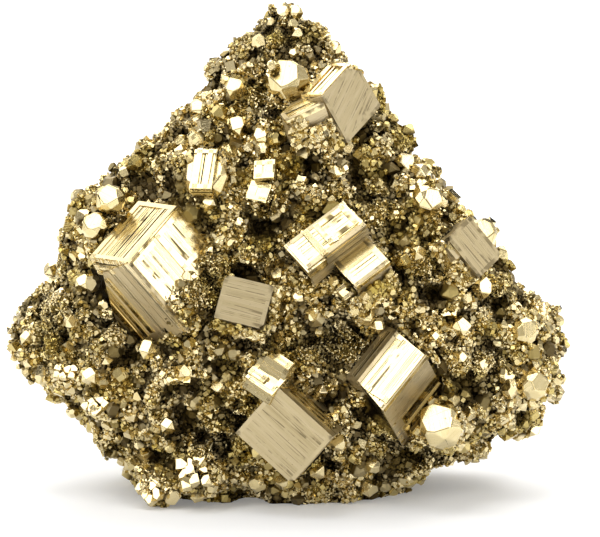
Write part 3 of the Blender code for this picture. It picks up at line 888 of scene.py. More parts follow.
# %% Styles of growth
Style = namedtuple("Style", "fine broad share relief step tilt slot ragged breaks")
CALM = Style((0.16, 0.40), (0.8, 2.2), 0.40, 0.30, 0.050, 1.2, 0.12, 0.10, 0.25)
LINED = Style((0.12, 0.30), (0.3, 0.9), 0.70, 0.36, 0.070, 2.4, 0.16, 0.14, 0.50)
STEPPED = Style((0.16, 0.40), (0.4, 1.1), 0.55, 0.80, 0.160, 2.8, 0.18, 0.60, 0.90)
FINE = Style((0.12, 0.26), (0.25, 0.7), 0.75, 0.05, 0.012, 1.8, 0.0, 0.045, 0.60)
DENSE = Style((0.12, 0.26), (0.25, 0.7), 0.70, 0.16, 0.045, 2.0, 0.06, 0.14, 0.60)
print("each style says:", ", ".join(Style._fields))

# %% [markdown]
# A bar's u runs along the growth lines, v across them and w out of the face. Its two top edges lie at
# slightly different heights, so that each bar catches the light at its own moment.

# %% Bars of a growing face
SLOT_WIDTH = (0.10, 0.26)
BAR_ROOT = 0.7  # bars reach this far below their lowest level
LAST_GAP, SHORTEST_BAR = 0.02, 0.2
LEVEL_SHARE = 0.3  # how much the parts of a broken bar differ in level, as a share of the style's step


def one_bar(u0, u1, v0, v1, w0, w1, root):
    """Corners of a bar: u runs along it, v across it, w out of the face."""
    return np.array([
        (u0, v0, root), (u1, v0, root), (u1, v1, root), (u0, v1, root),
        (u0, v0, w0), (u1, v0, w0), (u1, v1, w1), (u0, v1, w1),
    ])


def lay_bars(length, width, style, rng):
    """The bars of one face, each set of corners in u, v, w."""
    bars, v, level = [], -width / 2, -rng.uniform(0, style.relief / 2)
    root = -style.relief - BAR_ROOT
    while v < width / 2 - LAST_GAP:
        span = style.fine if rng.random() < style.share else style.broad
        broad = min(rng.uniform(*span), width / 2 - v)
        level = np.clip(level + rng.normal(0, style.step), -style.relief, 0.0)
        lean = math.tan(math.radians(rng.normal(0, style.tilt))) * broad / 2
        cuts = sorted(rng.uniform(-length / 2, length / 2, rng.poisson(style.breaks)))
        ends = [-length / 2 + abs(rng.normal(0, style.ragged)), *cuts]
        ends.append(length / 2 - abs(rng.normal(0, style.ragged)))
        for u0, u1 in zip(ends, ends[1:]):
            if u1 - u0 > SHORTEST_BAR:
                w = level + rng.normal(0, style.step * LEVEL_SHARE)
                bars.append(one_bar(u0, u1, v, v + broad, w - lean, w + lean, root))
        v += broad
        if rng.random() < style.slot:
            v += rng.uniform(*SLOT_WIDTH)
    return np.array(bars)


print("a slot is", SLOT_WIDTH, "mm wide")

# %% [markdown]
# The five open faces of a block get bars of their own, and a core fills the room under them, painted
# nearly black as shade, so that a slot between two bars shows depth. Each bar's u and v stay with it
# as marks for the finish.
# Where the fine lines don't follow a face's edges, only the marks are turned, not the bars.

# %% Blocks of bars
FACE_AXES = [
    # which of x, y, z runs along the lines, across them and outward, and the outward sign
    (0, 1, 2, 1), (1, 2, 0, 1), (1, 2, 0, -1), (0, 2, 1, 1), (0, 2, 1, -1),
]
BRIGHT_FACE, CORE_FACE, BRUSHED_SHADED_FACE = 0, 1, 2
CORE_UNDER, THINNEST_CORE = 0.08, 0.3


def face_bars(size, axes, style, rng):
    """One face's bars moved to their side of the cube, with u and v kept for the finish."""
    along, across, out, sign = axes
    middle = np.array([0.0, 0.0, -size[2] / 2])
    bars = lay_bars(size[along], size[across], style, rng)
    placed = np.empty_like(bars)
    placed[..., along] = bars[..., 0] + middle[along]
    placed[..., across] = bars[..., 1] + middle[across]
    placed[..., out] = sign * (bars[..., 2] + size[out] / 2) + middle[out]
    return placed, bars[..., :2]


def cube_corners(size, inset):
    half = np.array(size) / 2 - inset
    low, high = -half, half
    corners = one_bar(low[0], high[0], low[1], high[1], high[2], high[2], low[2])
    corners[:, 2] -= size[2] / 2
    return corners


def turned(marks, degrees):
    cosine, sine = math.cos(math.radians(degrees)), math.sin(math.radians(degrees))
    return marks @ np.array([[cosine, -sine], [sine, cosine]])


def block_of_bars(size, styles, turn, rng):
    """All the bars of a block, the core under them last, their marks and the number of their finish."""
    parts = [face_bars(size, axes, style, rng) for axes, style in zip(FACE_AXES, styles)]
    parts[0] = (parts[0][0], turned(parts[0][1], turn))
    inset = max(style.relief for style in styles) + CORE_UNDER
    roomy = min(size) > 2 * inset + THINNEST_CORE
    core = cube_corners(size, inset)[None] if roomy else np.empty((0, 8, 3))
    boxes = np.concatenate([placed for placed, _ in parts] + [core])
    marks = np.concatenate([flat for _, flat in parts] + [core[..., :2]])
    skins = [BRUSHED_SHADED_FACE if style in (FINE, DENSE) else BRIGHT_FACE for style in styles]
    counts = [len(placed) for placed, _ in parts]
    return boxes, marks, np.repeat([*skins, CORE_FACE], [*counts, len(core)])


print("finishes of a block: bright, core and brushed")

# %% [markdown]
# No cube is perfect. Some corners are cut off by another face, and most main faces carry ledges:
# thinner blocks that started to grow on top and stopped. Both are listed in the frame of their cube,
# so they follow it wherever it stands.

# %% Cut corners and ledges
TRIMS = {
    # a point and an outward normal in the crystal's own frame
    "great_cube": [((-8.1, -8.0, -8.4), (-1.0, -1.2, -1.3)), ((8.1, 6.2, -1.5), (1.0, 0.6, 0.7))],
    "top_cube": [((3.4, 4.85, 0.0), (0.65, 0.76, 0.0)), ((-5.9, 4.8, -6.0), (-1.0, 0.8, -0.8))],
    "top_cube_side": [((-3.7, 0.4, 0.0), (-0.6, 0.8, 0.2)), ((3.7, 1.2, 0.0), (0.8, 0.6, 0.0))],
    "stair_middle": [((3.8, 2.6, 0.0), (0.8, 0.6, 0.2))],
    "stair_lower": [((2.0, 0.5, 0.0), (0.8, -0.6, 0.3))],
    "flat_cube": [((4.4, -3.0, 0.0), (0.8, -0.6, 0.2)), ((-4.4, 3.2, 0.0), (-0.7, 0.7, 0.2))],
    "right_cube": [((4.5, 2.2, 0.0), (0.8, 0.6, 0.2)), ((-4.5, -2.6, 0.0), (-0.7, -0.7, 0.3))],
    "ridge_cube": [
        ((6.7, 3.8, 0.0), (0.96, -0.28, 0.0)),
        ((-6.7, -3.8, 0.0), (-0.99, 0.13, 0.0)),
    ],
    "low_cube": [((6.6, -4.9, 0.0), (0.7, -0.7, 0.2))],
    "low_block": [((-3.4, 1.6, 0.0), (-0.7, 0.7, 0.3))],
}
Ledge = namedtuple("Ledge", "at facing along size style")
UP, LEFT, RIGHT, NEAR, FAR = (0, 0, 1), (-1, 0, 0), (1, 0, 0), (0, -1, 0), (0, 1, 0)
SLANTED = (0.0, -0.42, 0.91)
LEDGES = {
    # blocks grown on a cube: middle of the outer face, its facing, its lines, size, style
    "great_cube": [
        Ledge((-2.2, 0.2, 0.16), UP, RIGHT, (10.6, 15.0, 0.8), CALM),
        Ledge((-3.6, 3.4, 0.34), UP, RIGHT, (8.4, 7.6, 0.8), CALM),
        Ledge((-0.4, -8.15, -8.8), NEAR, RIGHT, (13.0, 1.5, 0.6), LINED),
        Ledge((0.6, -8.35, -10.9), NEAR, RIGHT, (12.0, 1.4, 0.8), STEPPED),
        Ledge((2.0, -8.55, -12.8), NEAR, RIGHT, (11.0, 1.3, 1.0), LINED),
    ],
    "stair_upper": [
        Ledge((-2.4, -0.2, 0.42), UP, FAR, (6.4, 1.1, 1.0), LINED),
        Ledge((2.6, 0.3, 0.22), UP, RIGHT, (6.6, 5.0, 0.8), CALM),
        Ledge((-4.8, -0.2, -0.3), UP, RIGHT, (4.0, 7.4, 2.0), LINED),
    ],
    "right_cube": [Ledge((-2.4, -3.4, -0.35), UP, RIGHT, (3.8, 2.0, 2.0), FINE)],
    "ridge_cube": [
        Ledge((-0.4, 0.9, 0.25), UP, RIGHT, (11.4, 5.2, 0.6), CALM),
        Ledge((-1.5, 4.0, -9.4), FAR, RIGHT, (11.5, 4.2, 1.0), STEPPED),
        Ledge((-0.5, 4.2, -12.4), FAR, RIGHT, (11.0, 4.0, 1.0), STEPPED),
    ],
    "low_cube": [
        Ledge((0.4, 5.9, -4.6), FAR, RIGHT, (9.8, 5.0, 1.0), STEPPED),
    ],
    "low_block": [
        Ledge((-0.2, 3.3, 0.9), UP, RIGHT, (6.0, 1.5, 2.0), CALM),
        Ledge((-0.1, 1.1, 0.2), SLANTED, RIGHT, (6.4, 3.0, 2.0), LINED),
        Ledge((-1.3, -1.1, 0.5), UP, RIGHT, (3.8, 1.5, 1.6), CALM),
        Ledge((0.2, -3.0, -0.7), SLANTED, RIGHT, (6.4, 2.6, 2.0), LINED),
    ],
    "back_cube": [
        Ledge((0.4, -0.5, 0.4), UP, RIGHT, (9.0, 7.4, 0.8), CALM),
        Ledge((-6.2, 0.2, -4.2), LEFT, FAR, (8.0, 4.6, 1.0), STEPPED),
    ],
    "back_block": [Ledge((0.2, 0.2, 0.35), UP, RIGHT, (7.0, 6.2, 0.8), LINED)],
}
print(sum(len(found) for found in LEDGES.values()), "ledges")

# %% [markdown]
# The cubes did not all grow in the same way. A style for the main face, one for the ends of its lines
# and one for the sides tell a calm cube from a stepped one, and a tint tells fresh brass from old.

# %% Looks of the cubes
STYLES = {
    # main face, faces at the ends of its lines, faces beside its lines
    "great_cube_slope": (LINED, LINED, LINED),
    "top_cube_side": (CALM, FINE, FINE),
    "top_cube_slope": (STEPPED, LINED, LINED),
    "ridge_cube": (CALM, LINED, FINE),
    "ridge_cube_slope": (DENSE, DENSE, DENSE),
}
STEADY = ("great_cube", "stair_upper", "stair_middle", "stair_lower", "back_cube", "back_block", "back_top")
STYLES |= dict.fromkeys(STEADY, (CALM, LINED, DENSE))
STYLES |= dict.fromkeys(("top_cube", "low_cube", "flat_cube", "right_cube"), (FINE, FINE, FINE))
OTHER_STYLES = (LINED, LINED, STEPPED)
TINTS = {
    # how far the metal of a cube is from pale brass towards old gold
    "top_cube": 0.35, "stair_middle": 0.15, "stair_lower": 0.5, "flat_cube": 0.35, "right_cube": 0.45,
    "low_cube": 0.55, "ridge_cube": 0.15, "low_block": 0.25, "twin_low": 0.35, "twin_high": 0.35,
    "back_cube": 0.3, "back_block": 0.5, "back_top": 0.4, "great_cube": 0.05, "stair_upper": 0.1,
    "great_cube_slope": 0.1, "top_cube_slope": 0.1, "ridge_cube_slope": 0.45, "top_cube_side": 0.2,
}
OTHER_TINT, TINT_SPREAD = 0.3, 0.14
STRIA_TURN = {"top_cube": 15.0}  # degrees between the fine lines of the main face and its edges
LEDGE_SHIFT, CUBE_SHIFT = 20.0, 50.0  # the marks are moved by up to this, so that no two faces look alike


def cube_blocks(name, rng):
    """The cube itself and its ledges: boxes, marks and finishes."""
    main, ends, sides = STYLES.get(name, OTHER_STYLES)
    turn = STRIA_TURN.get(name, 0.0)
    found = [block_of_bars(CRYSTALS[name].size, (main, ends, ends, sides, sides), turn, rng)]
    for ledge in LEDGES.get(name, []):
        at, axes = frame_of(ledge.at, ledge.facing, ledge.along)
        styles = (ledge.style, *[FINE if ledge.style is FINE else CALM] * 4)
        boxes, marks, finish = block_of_bars(ledge.size, styles, turn, rng)
        found.append((boxes @ axes.T + at, marks + rng.uniform(0, LEDGE_SHIFT), finish))
    return [np.concatenate([three[i] for three in found]) for i in range(3)]


print(len(STYLES), "cubes have styles of their own")

# %% [markdown]
# The boxes of a cube become one mesh. Every bar stays a closed shell, so a plane that cuts a corner
# has to close each shell it cuts. The mesh keeps the crystal's own frame and the object is placed.

# %% Cube pieces
BOX_FACES = [(0, 1, 2, 3), (4, 7, 6, 5), (0, 4, 5, 1), (1, 5, 6, 2), (2, 6, 7, 3), (3, 7, 4, 0)]
CUT_TOLERANCE = 1e-9


def mesh_from(name, points, faces, marks):
    """A mesh in metres from points in mm, with a number stored on each point for each mark."""
    mesh = bpy.data.meshes.new(name)
    mesh.from_pydata((points * MM).tolist(), [], faces)
    for mark, values in marks.items():
        mesh.attributes.new(mark, "FLOAT", "POINT").data.foreach_set("value", values.astype(np.float32))
    return mesh


def trim_shells(bm, point, normal):
    """Cut every shell by a plane and close each cut."""
    geometry, at, facing = bm.verts[:] + bm.edges[:] + bm.faces[:], Vector(point) * MM, Vector(normal)
    bmesh.ops.bisect_plane(
        bm, geom=geometry, dist=CUT_TOLERANCE, plane_co=at, plane_no=facing, clear_outer=True
    )
    bmesh.ops.holes_fill(bm, edges=[e for e in bm.edges if e.is_boundary], sides=0)


def cube_mesh(name, rng):
    boxes, flat, finish = cube_blocks(name, rng)
    faces = [tuple(8 * k + i for i in face) for k in range(len(boxes)) for face in BOX_FACES]
    tint = np.clip(TINTS.get(name, OTHER_TINT) + rng.normal(0, TINT_SPREAD, len(boxes)), 0, 1)
    # The core is painted nearly black with the mass's skin: painted shade in the slots between the bars.
    soil = np.where(finish == CORE_FACE, MOST_PAINTED_SHADE, 0.0)
    marks = {
        "along": flat[..., 0].ravel(), "across": flat[..., 1].ravel() + rng.uniform(0, CUBE_SHIFT),
        "tint": np.repeat(tint, 8), "soil": np.repeat(soil, 8),
    }
    mesh = mesh_from(name, boxes.reshape(-1, 3), faces, marks)
    mesh.polygons.foreach_set("material_index", np.repeat(finish, 6).astype(np.int32))
    return mesh


def big_cube(name, rng):
    mesh, crystal = cube_mesh(name, rng), CRYSTALS[name]
    bm = bmesh.new()
    bm.from_mesh(mesh)
    for point, normal in TRIMS.get(name, []):
        trim_shells(bm, point, normal)
    bmesh.ops.recalc_face_normals(bm, faces=bm.faces)
    bm.to_mesh(mesh)
    bm.free()
    for material in (STRIATED, GROUND, BRUSHED_SHADED):
        mesh.materials.append(material)
    cube = bpy.data.objects.new(name, mesh)
    bpy.context.scene.collection.objects.link(cube)
    turn = Matrix(crystal.turn.tolist()).to_4x4()
    cube.matrix_world = Matrix.Translation(Vector(crystal.at) * MM) @ turn
    return cube


def take_in(piece):
    """Ride on the specimen."""
    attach(piece, "root")
    return piece


for number, name in enumerate(CRYSTALS):
    cube = take_in(big_cube(name, np.random.default_rng(100 + number)))
    print(name, len(cube.data.polygons), "faces")

# %% [markdown]
# The smaller crystals are closed solids with few faces: cube corners, cubes with cut corners and
# edges, and twelve-sided pyritohedra. Each is made once by slicing a block with planes, as a lapidary
# would. Subdivided or noisy lumps would be quicker, but pyrite shows flat faces at every size.

# %% Slicing a block
TURN_STEP = 2.39996  # the golden angle, which spreads faces evenly round a bead
BEAD_REACH_IN, BEAD_JITTER, BEAD_TWIST = 0.93, 0.025, 0.12
BIG_FACE = 0.30


def cut_off(bm, normal, distance):
    """Slice away what lies beyond a plane and close the cut."""
    geometry, facing = bm.verts[:] + bm.edges[:] + bm.faces[:], Vector(normal)
    cut = bmesh.ops.bisect_plane(
        bm, geom=geometry, dist=1e-6, plane_co=facing * distance, plane_no=facing, clear_outer=True
    )
    edges = [e for e in cut["geom_cut"] if isinstance(e, bmesh.types.BMEdge)]
    if edges:
        bmesh.ops.contextual_create(bm, geom=edges)


def sliced_block(half, planes):
    """A cube cut by planes given as a unit normal and a distance, for a crystal of radius 1."""
    bm = bmesh.new()
    bmesh.ops.create_cube(bm, size=2.0 * half)
    for normal, distance in planes:
        cut_off(bm, normal, distance)
    bmesh.ops.recalc_face_normals(bm, faces=bm.faces)
    return bm


def corner_planes(rng, distance, spread):
    """The eight planes that cut a cube's corners."""
    for signs in product((-1, 1), repeat=3):
        yield Vector(signs).normalized(), distance + rng.normal(0, spread)


def some_corners(rng, distance, spread):
    planes = list(corner_planes(rng, distance, spread))
    return [planes[i] for i in rng.choice(len(planes), 3, replace=False)]


def edge_planes(rng, distance, spread, lean=1.0):
    """The twelve planes that cut a cube's edges, evenly or leaning towards one face."""
    for a, b in product((-1, 1), (-lean, lean)):
        for normal in ((a, b, 0), (0, a, b), (b, 0, a)):
            yield Vector(normal).normalized(), distance + rng.normal(0, spread)


def pyrite_planes(rng, distance, spread):
    """The twelve planes of the pyritohedron, two to each cube face."""
    return edge_planes(rng, distance, spread, 0.5)


def bead_planes(rng, count, broad):
    """Planes all round a bead, the first one nearer so that its face is broad."""
    yield Vector((0, 0, 1)), broad
    for k in range(count):
        rise = 1.0 - (2 * k + 1.0) / count
        turn = k * TURN_STEP + rng.normal(0, BEAD_TWIST)
        flat = math.sqrt(1.0 - rise * rise)
        normal = Vector((flat * math.cos(turn), flat * math.sin(turn), rise))
        yield normal, BEAD_REACH_IN + rng.normal(0, BEAD_JITTER)


def terraces(bm, share, height):
    """A low step on each face of some size, as growth leaves it."""
    faces = [f for f in bm.faces if f.calc_area() > BIG_FACE]
    bmesh.ops.inset_individual(bm, faces=faces, thickness=share, depth=height, use_even_offset=True)
    return bm


print("slicing ready")

# %% [markdown]
# A finished solid is kept as plain arrays, a master, to be copied many times. A master is turned by
# chance first, and what would lie deep under the skin is cut away, which saves faces that no one
# sees. The finest kind is the corner of a cube, standing on its diagonal: three faces and a base.

# %% Masters
Master = namedtuple("Master", "points loops sizes marks")
CORNER_LEAN, CORNER_CUT, CORNER_SINK = 0.22, 1.25, 1.35
BLUNT_LEAN, BLUNT_CUT = 0.3, 0.42


def master_of(bm, rng=None, depth=0.3, turn=None):
    """The solid as plain arrays, turned by chance and cut off under the skin if rng is given."""
    if rng is not None:
        turn = turn or Vector(rng.normal(size=3)).rotation_difference(Vector((0, 0, 1)))
        bmesh.ops.rotate(bm, verts=bm.verts, cent=(0, 0, 0), matrix=turn.to_matrix())
        cut_off(bm, (0, 0, -1), depth)
        bmesh.ops.recalc_face_normals(bm, faces=bm.faces)
    back = turn.to_matrix().inverted() if turn else Matrix.Identity(3)
    bm.verts.index_update()
    points = np.array([v.co[:] for v in bm.verts])
    loops, sizes, across, along = [], [], [], []
    for face in bm.faces:
        normal = back @ face.normal
        axis = int(np.argmax(np.abs(normal)))
        for v in face.verts:
            place = back @ v.co
            loops.append(v.index)
            across.append(place[(axis + 2) % 3])
            along.append(place[(axis + 1) % 3])
        sizes.append(len(face.verts))
    bm.free()
    return Master(points, np.array(loops), np.array(sizes), np.array([across, along]))


def cube_corner(rng, blunt):
    """The corner of a cube standing out of the skin: three bright faces and a base."""
    lean = Vector((1, 1, 1)) + Vector(rng.normal(0, CORNER_LEAN, 3))
    upright = lean.rotation_difference(Vector((0, 0, 1)))
    corner = master_of(sliced_block(1.2, []), rng, -CORNER_CUT, upright)
    bm = bmesh.new()
    hull = [bm.verts.new(p) for p in corner.points]
    bmesh.ops.convex_hull(bm, input=hull)
    bmesh.ops.translate(bm, verts=bm.verts, vec=(0, 0, -CORNER_SINK))
    if blunt:
        cut_off(bm, (rng.normal(0, BLUNT_LEAN), rng.normal(0, BLUNT_LEAN), 1.0), BLUNT_CUT)
    bmesh.ops.recalc_face_normals(bm, faces=bm.faces)
    return master_of(bm)


print("masters hold", ", ".join(Master._fields))

# %% [markdown]
# Each size of crystal has a handful of masters, so that no two neighbours look alike. The share of
# plain cubes, cubes with cut corners and many-sided ones follows the druse: grains are mostly blunt
# cubes, larger crystals are mostly rounded. The finest sizes have few faces, because there are most.

# %% Masters of each size
SUGAR_MASTERS, BLUNT_MASTER = 7, 2
HALF_DEEP, THIN_ROOT = 0.5, 0.2  # how deep a master reaches under the skin, in radii


def make_masters():
    rng = np.random.default_rng(3)

    def blocks(count, half, *plane_sets, depth=0.3):
        return [
            master_of(sliced_block(half, [p for f, d, s in plane_sets for p in f(rng, d, s)]), rng, depth)
            for _ in range(count)
        ]

    def terraced():
        solid = sliced_block(0.80, corner_planes(rng, 0.96, 0.10))
        return master_of(terraces(solid, 0.10, 0.03), rng, HALF_DEEP)

    sugar = [cube_corner(rng, number == BLUNT_MASTER) for number in range(SUGAR_MASTERS)]
    grain = blocks(3, 0.74) + blocks(6, 0.80, (some_corners, 0.88, 0.10), depth=THIN_ROOT)
    grain += blocks(1, 0.86, (pyrite_planes, 0.84, 0.05), depth=THIN_ROOT)
    small = blocks(1, 0.70) + blocks(4, 0.80, (some_corners, 0.90, 0.10))
    small += blocks(4, 0.82, (corner_planes, 0.93, 0.06), (edge_planes, 0.96, 0.07))
    small += blocks(3, 0.86, (pyrite_planes, 0.84, 0.04))
    middle = blocks(1, 0.72) + blocks(2, 0.80, (corner_planes, 0.92, 0.10), depth=HALF_DEEP)
    middle += blocks(5, 0.84, (corner_planes, 0.93, 0.06), (edge_planes, 0.95, 0.07), depth=HALF_DEEP)
    middle += [terraced() for _ in range(3)]
    return {"sugar": sugar, "grain": grain, "small": small, "middle": middle}


MASTERS = make_masters()
print("faces:", {name: [len(m.sizes) for m in masters] for name, masters in MASTERS.items()})

# %% [markdown]
# Tens of thousands of crystals as objects would show the same picture, but would be slow to open and
# to export. So copies are added up as numbers in a heap, and a heap becomes one mesh. Each corner of
# each face keeps its marks for the finish, among them how high above the skin it lies.

# %% Heaps of crystals
MARKS = ("across", "along", "tint", "lift", "stain", "soil")
TABLE_GAP = 0.01
LINE_SHIFT, LINE_RANGE = 7.31, 60.0  # mm: the growth lines of each copy start elsewhere


class Heap:
    """Closed crystals gathered for one piece."""

    def __init__(self):
        self.points, self.loops, self.sizes = [], [], []
        self.marks = {mark: [] for mark in MARKS}
        self.count = 0

    def add(self, master, at, turns, radii, **skin):
        """Copies of one solid. The arrays hold a row for each copy, the skin its tint, stain and painted
        shade.
        """
        copies, corners = len(at), len(master.points)
        placed = np.einsum("kij,nj->kni", turns, master.points) * radii[:, None, None]
        placed = placed + at[:, None, :]
        placed[..., 2] = np.maximum(placed[..., 2], TABLE_GAP)
        offset = self.count + np.arange(copies)[:, None] * corners
        self.points.append(placed.reshape(-1, 3))
        self.loops.append((master.loops[None] + offset).ravel())
        self.sizes.append(np.tile(master.sizes, copies))
        self.count += copies * corners
        shift = (np.arange(copies) * LINE_SHIFT) % LINE_RANGE
        lines = master.marks[:, None, :] * radii[None, :, None]
        self.marks["across"].append((lines[0] + shift[:, None]).ravel())
        self.marks["along"].append(lines[1].ravel())
        self.marks["lift"].append(np.tile(master.points[master.loops, 2], copies))
        for mark, values in skin.items():
            self.marks[mark].append(np.repeat(values, len(master.loops)))

    def add_one(self, solid, at, turn, radius, tint):
        """A single clean crystal."""
        one, none = np.array([radius]), np.zeros(1)
        self.add(master_of(solid), np.array([at], float), turn[None], one, tint=[tint], stain=none, soil=none)

    def triangles(self):
        return sum(int((sizes - 2).sum()) for sizes in self.sizes)

    def piece(self, name, material):
        """The heap as one object that rides on the specimen."""
        points, loops, sizes = (np.concatenate(part) for part in (self.points, self.loops, self.sizes))
        mesh = bpy.data.meshes.new(name)
        mesh.vertices.add(len(points))
        mesh.vertices.foreach_set("co", (points * MM).astype(np.float32).ravel())
        mesh.loops.add(len(loops))
        mesh.loops.foreach_set("vertex_index", loops.astype(np.int32))
        mesh.polygons.add(len(sizes))
        starts = np.concatenate([[0], np.cumsum(sizes)[:-1]])
        mesh.polygons.foreach_set("loop_start", starts.astype(np.int32))
        mesh.update(calc_edges=True)
        for mark, parts in self.marks.items():
            values = np.concatenate(parts).astype(np.float32)
            mesh.attributes.new(mark, "FLOAT", "CORNER").data.foreach_set("value", values)
        mesh.shade_flat()
        mesh.materials.append(material)
        made = bpy.data.objects.new(name, mesh)
        bpy.context.scene.collection.objects.link(made)
        print(name, self.triangles(), "triangles")
        return take_in(made)


print("a heap stores", ", ".join(MARKS))

# %% [markdown]
# Crystals must not pile up in one place, yet must leave few bare gaps. Points are thrown at the
# ground mass one size after another, largest first, and a point is kept only where no kept neighbour
# is too near. A grid of boxes finds the neighbours, so each throw looks at a few points, not at all.

# %% A crowd of points
GRID_BOX = 3.6


class Crowd:
    """Kept points, found by the box of a grid that they lie in."""

    def __init__(self, box):
        self.box, self.grid = box, {}

    def key(self, p):
        return tuple(int(c // self.box) for c in p)

    def room_for(self, p, radius, closeness):
        i, j, k = self.key(p)
        for a in (i - 1, i, i + 1):
            for b in (j - 1, j, j + 1):
                for c in (k - 1, k, k + 1):
                    for q, other in self.grid.get((a, b, c), ()):
                        gap = (radius + other) * closeness
                        d = (p[0] - q[0]) ** 2 + (p[1] - q[1]) ** 2 + (p[2] - q[2]) ** 2
                        if d < gap * gap:
                            return False
        return True

    def keep(self, p, radius):
        self.grid.setdefault(self.key(p), []).append((p, radius))


crowd = Crowd(GRID_BOX)
print("grid of", GRID_BOX, "mm boxes")

# %% [markdown]
# A point is thrown by choosing a triangle of the ground mass by its area, and then a place on that
# triangle. The mass must not change any more from here on.

# %% Places on the ground mass
BASE_CLEAR = 0.35
FRONT = np.array([0.0, -1.0, 0.0])


def ground_triangles():
    """Corners, vertex normals, areas and painted shade of the ground mass's triangles, base left out."""
    mesh = ground.data
    mesh.calc_loop_triangles()
    corners = np.empty(len(mesh.loop_triangles) * 3, np.int32)
    mesh.loop_triangles.foreach_get("vertices", corners)
    corners = corners.reshape(-1, 3)
    points = read_points(mesh) / MM
    normals = read_points(mesh, "vertex_normals", "vector")
    corners = corners[points[corners][:, :, 2].max(axis=1) > BASE_CLEAR]
    soil = np.empty(len(mesh.vertices), np.float32)
    mesh.attributes["soil"].data.foreach_get("value", soil)
    a, b, c = (points[corners[:, i]] for i in range(3))
    area = np.linalg.norm(np.cross(b - a, c - a), axis=1) / 2
    return points[corners], normals[corners], area, soil[corners].mean(axis=1)


def points_on(rng, chosen):
    """One random point on each chosen triangle."""
    count = len(chosen)
    a, b = rng.random(count), rng.random(count)
    flip = a + b > 1
    a[flip], b[flip] = 1 - a[flip], 1 - b[flip]
    share = np.stack([1 - a - b, a, b], axis=1)[:, :, None]
    points = (TRIANGLES[chosen] * share).sum(axis=1)
    normals = (TRIANGLE_NORMALS[chosen] * share).sum(axis=1)
    return points, normals / np.linalg.norm(normals, axis=1)[:, None], PAINTED_SHADE[chosen]


TRIANGLES, TRIANGLE_NORMALS, AREAS, PAINTED_SHADE = ground_triangles()
CENTRES, UPWARD = TRIANGLES.mean(axis=1), TRIANGLE_NORMALS.mean(axis=1)
print("area of the ground mass:", round(AREAS.sum() / 100, 1), "cm2")

# %% [markdown]
# The druse is not even: patches of fine sugar lie between lumps with larger crystals, and a few
# patches are stained by rust. Patches seen on the best side are named by their middle and reach, and
# soft noise makes the rest, so the back gets the same character without a list of its own.

# %% Fine and coarse patches
FINE_PATCHES = [
    # x, height, reach across and up
    (-41.9, 31.4, 4.5, 7.0), (9.4, 29.6, 6.0, 5.0), (35.0, 25.9, 5.5, 3.2), (-14.6, 12.2, 3.6, 4.0),
    (4.9, 8.2, 3.2, 3.6), (17.5, 13.1, 3.2, 3.2), (-4.7, 30.5, 5.5, 2.2), (-2.9, 83.8, 10.0, 5.0),
    (-13.5, 41.0, 5.0, 7.0), (-7.5, 17.5, 4.0, 5.0), (24.0, 44.0, 3.0, 6.0), (-30.0, 33.0, 4.0, 3.0),
]
STAINS = [(-41.0, 29.0, 4.0), (-29.3, 8.7, 2.5), (40.0, 39.5, 2.5), (-36.0, 36.0, 1.6), (3.0, 52.0, 2.0)]
BEST_SIDE = 2.0  # the patches hold in front of this depth
MEDIUM, FINE_CORE, FINE_FADE, STAIN_MOST = 0.42, 1.25, 0.6, 0.5


def fineness(points):
    """0 where the druse is coarse, 1 where it is fine sugar."""
    value = MEDIUM + 0.9 * soft_noise(points, 9.0, 1) + 0.3 * soft_noise(points, 3.5, 2)
    best_side = points[:, 1] < BEST_SIDE
    for x, z, across, up in FINE_PATCHES:
        away = ((points[:, 0] - x) / across) ** 2 + ((points[:, 2] - z) / up) ** 2
        value = np.maximum(value, np.where(best_side, FINE_CORE - away * FINE_FADE, 0.0))
    return np.clip(value, 0.0, 1.0)


def stain_at(points):
    """How rusty each point is."""
    value = np.clip(soft_noise(points, 6.0, 9) * 2.2 - 0.25, 0.0, 0.6)
    best_side = points[:, 1] < BEST_SIDE
    for x, z, reach in STAINS:
        away = ((points[:, 0] - x) ** 2 + (points[:, 2] - z) ** 2) / reach**2
        value = np.maximum(value, np.where(best_side, STAIN_MOST * np.exp(-away), 0.0))
    return value


print(len(FINE_PATCHES), "fine patches,", len(STAINS), "stains")

# %% [markdown]
# Three sizes of crystal are thrown and thinned in turn. The largest grow only where the druse is
# coarse. The back is seen less and carries fewer, because the mesh must stay light.

# %% Crystals of the druse
Size = namedtuple("Size", "low high throws closeness finest")
SIZES = {
    # smallest and largest radius in mm, throws, closeness, and the finest patch where it grows
    "middle": Size(1.10, 1.80, 1500, 0.92, 0.40),
    "small": Size(0.58, 1.00, 8000, 0.82, 0.62),
    "grain": Size(0.32, 0.58, 60000, 0.72, 0.93),
}
BACK_SHARE = 0.22
SMALL_BIAS = 1.4  # above 1, small radii are more common than large ones
SEEN = (UPWARD @ FRONT) > -0.15


def grow_druse(size, rng):
    """Kept places of one size: middle, outward direction, painted shade and radius."""
    share = AREAS * np.where(SEEN, 1.0, BACK_SHARE)
    chosen = rng.choice(len(AREAS), size=size.throws, p=share / share.sum())
    points, normals, soil = points_on(rng, chosen)
    radii = size.low * (size.high / size.low) ** (rng.random(size.throws) ** SMALL_BIAS)
    fits = (fineness(points) <= size.finest) & (points[:, 2] > radii * 0.45)
    fits &= ~inside_placed(points, radii * 0.35) & ~inside_round(points, radii * 0.2)
    kept = []
    for i in np.flatnonzero(fits):
        p, r = tuple(points[i]), radii[i]
        if crowd.room_for(p, r, size.closeness):
            crowd.keep(p, r)
            kept.append(i)
    return points[kept], normals[kept], soil[kept], radii[kept]


druse_rng = np.random.default_rng(21)
druse = {kind: grow_druse(size, druse_rng) for kind, size in SIZES.items()}
print("druse:", {kind: len(found[0]) for kind, found in druse.items()})

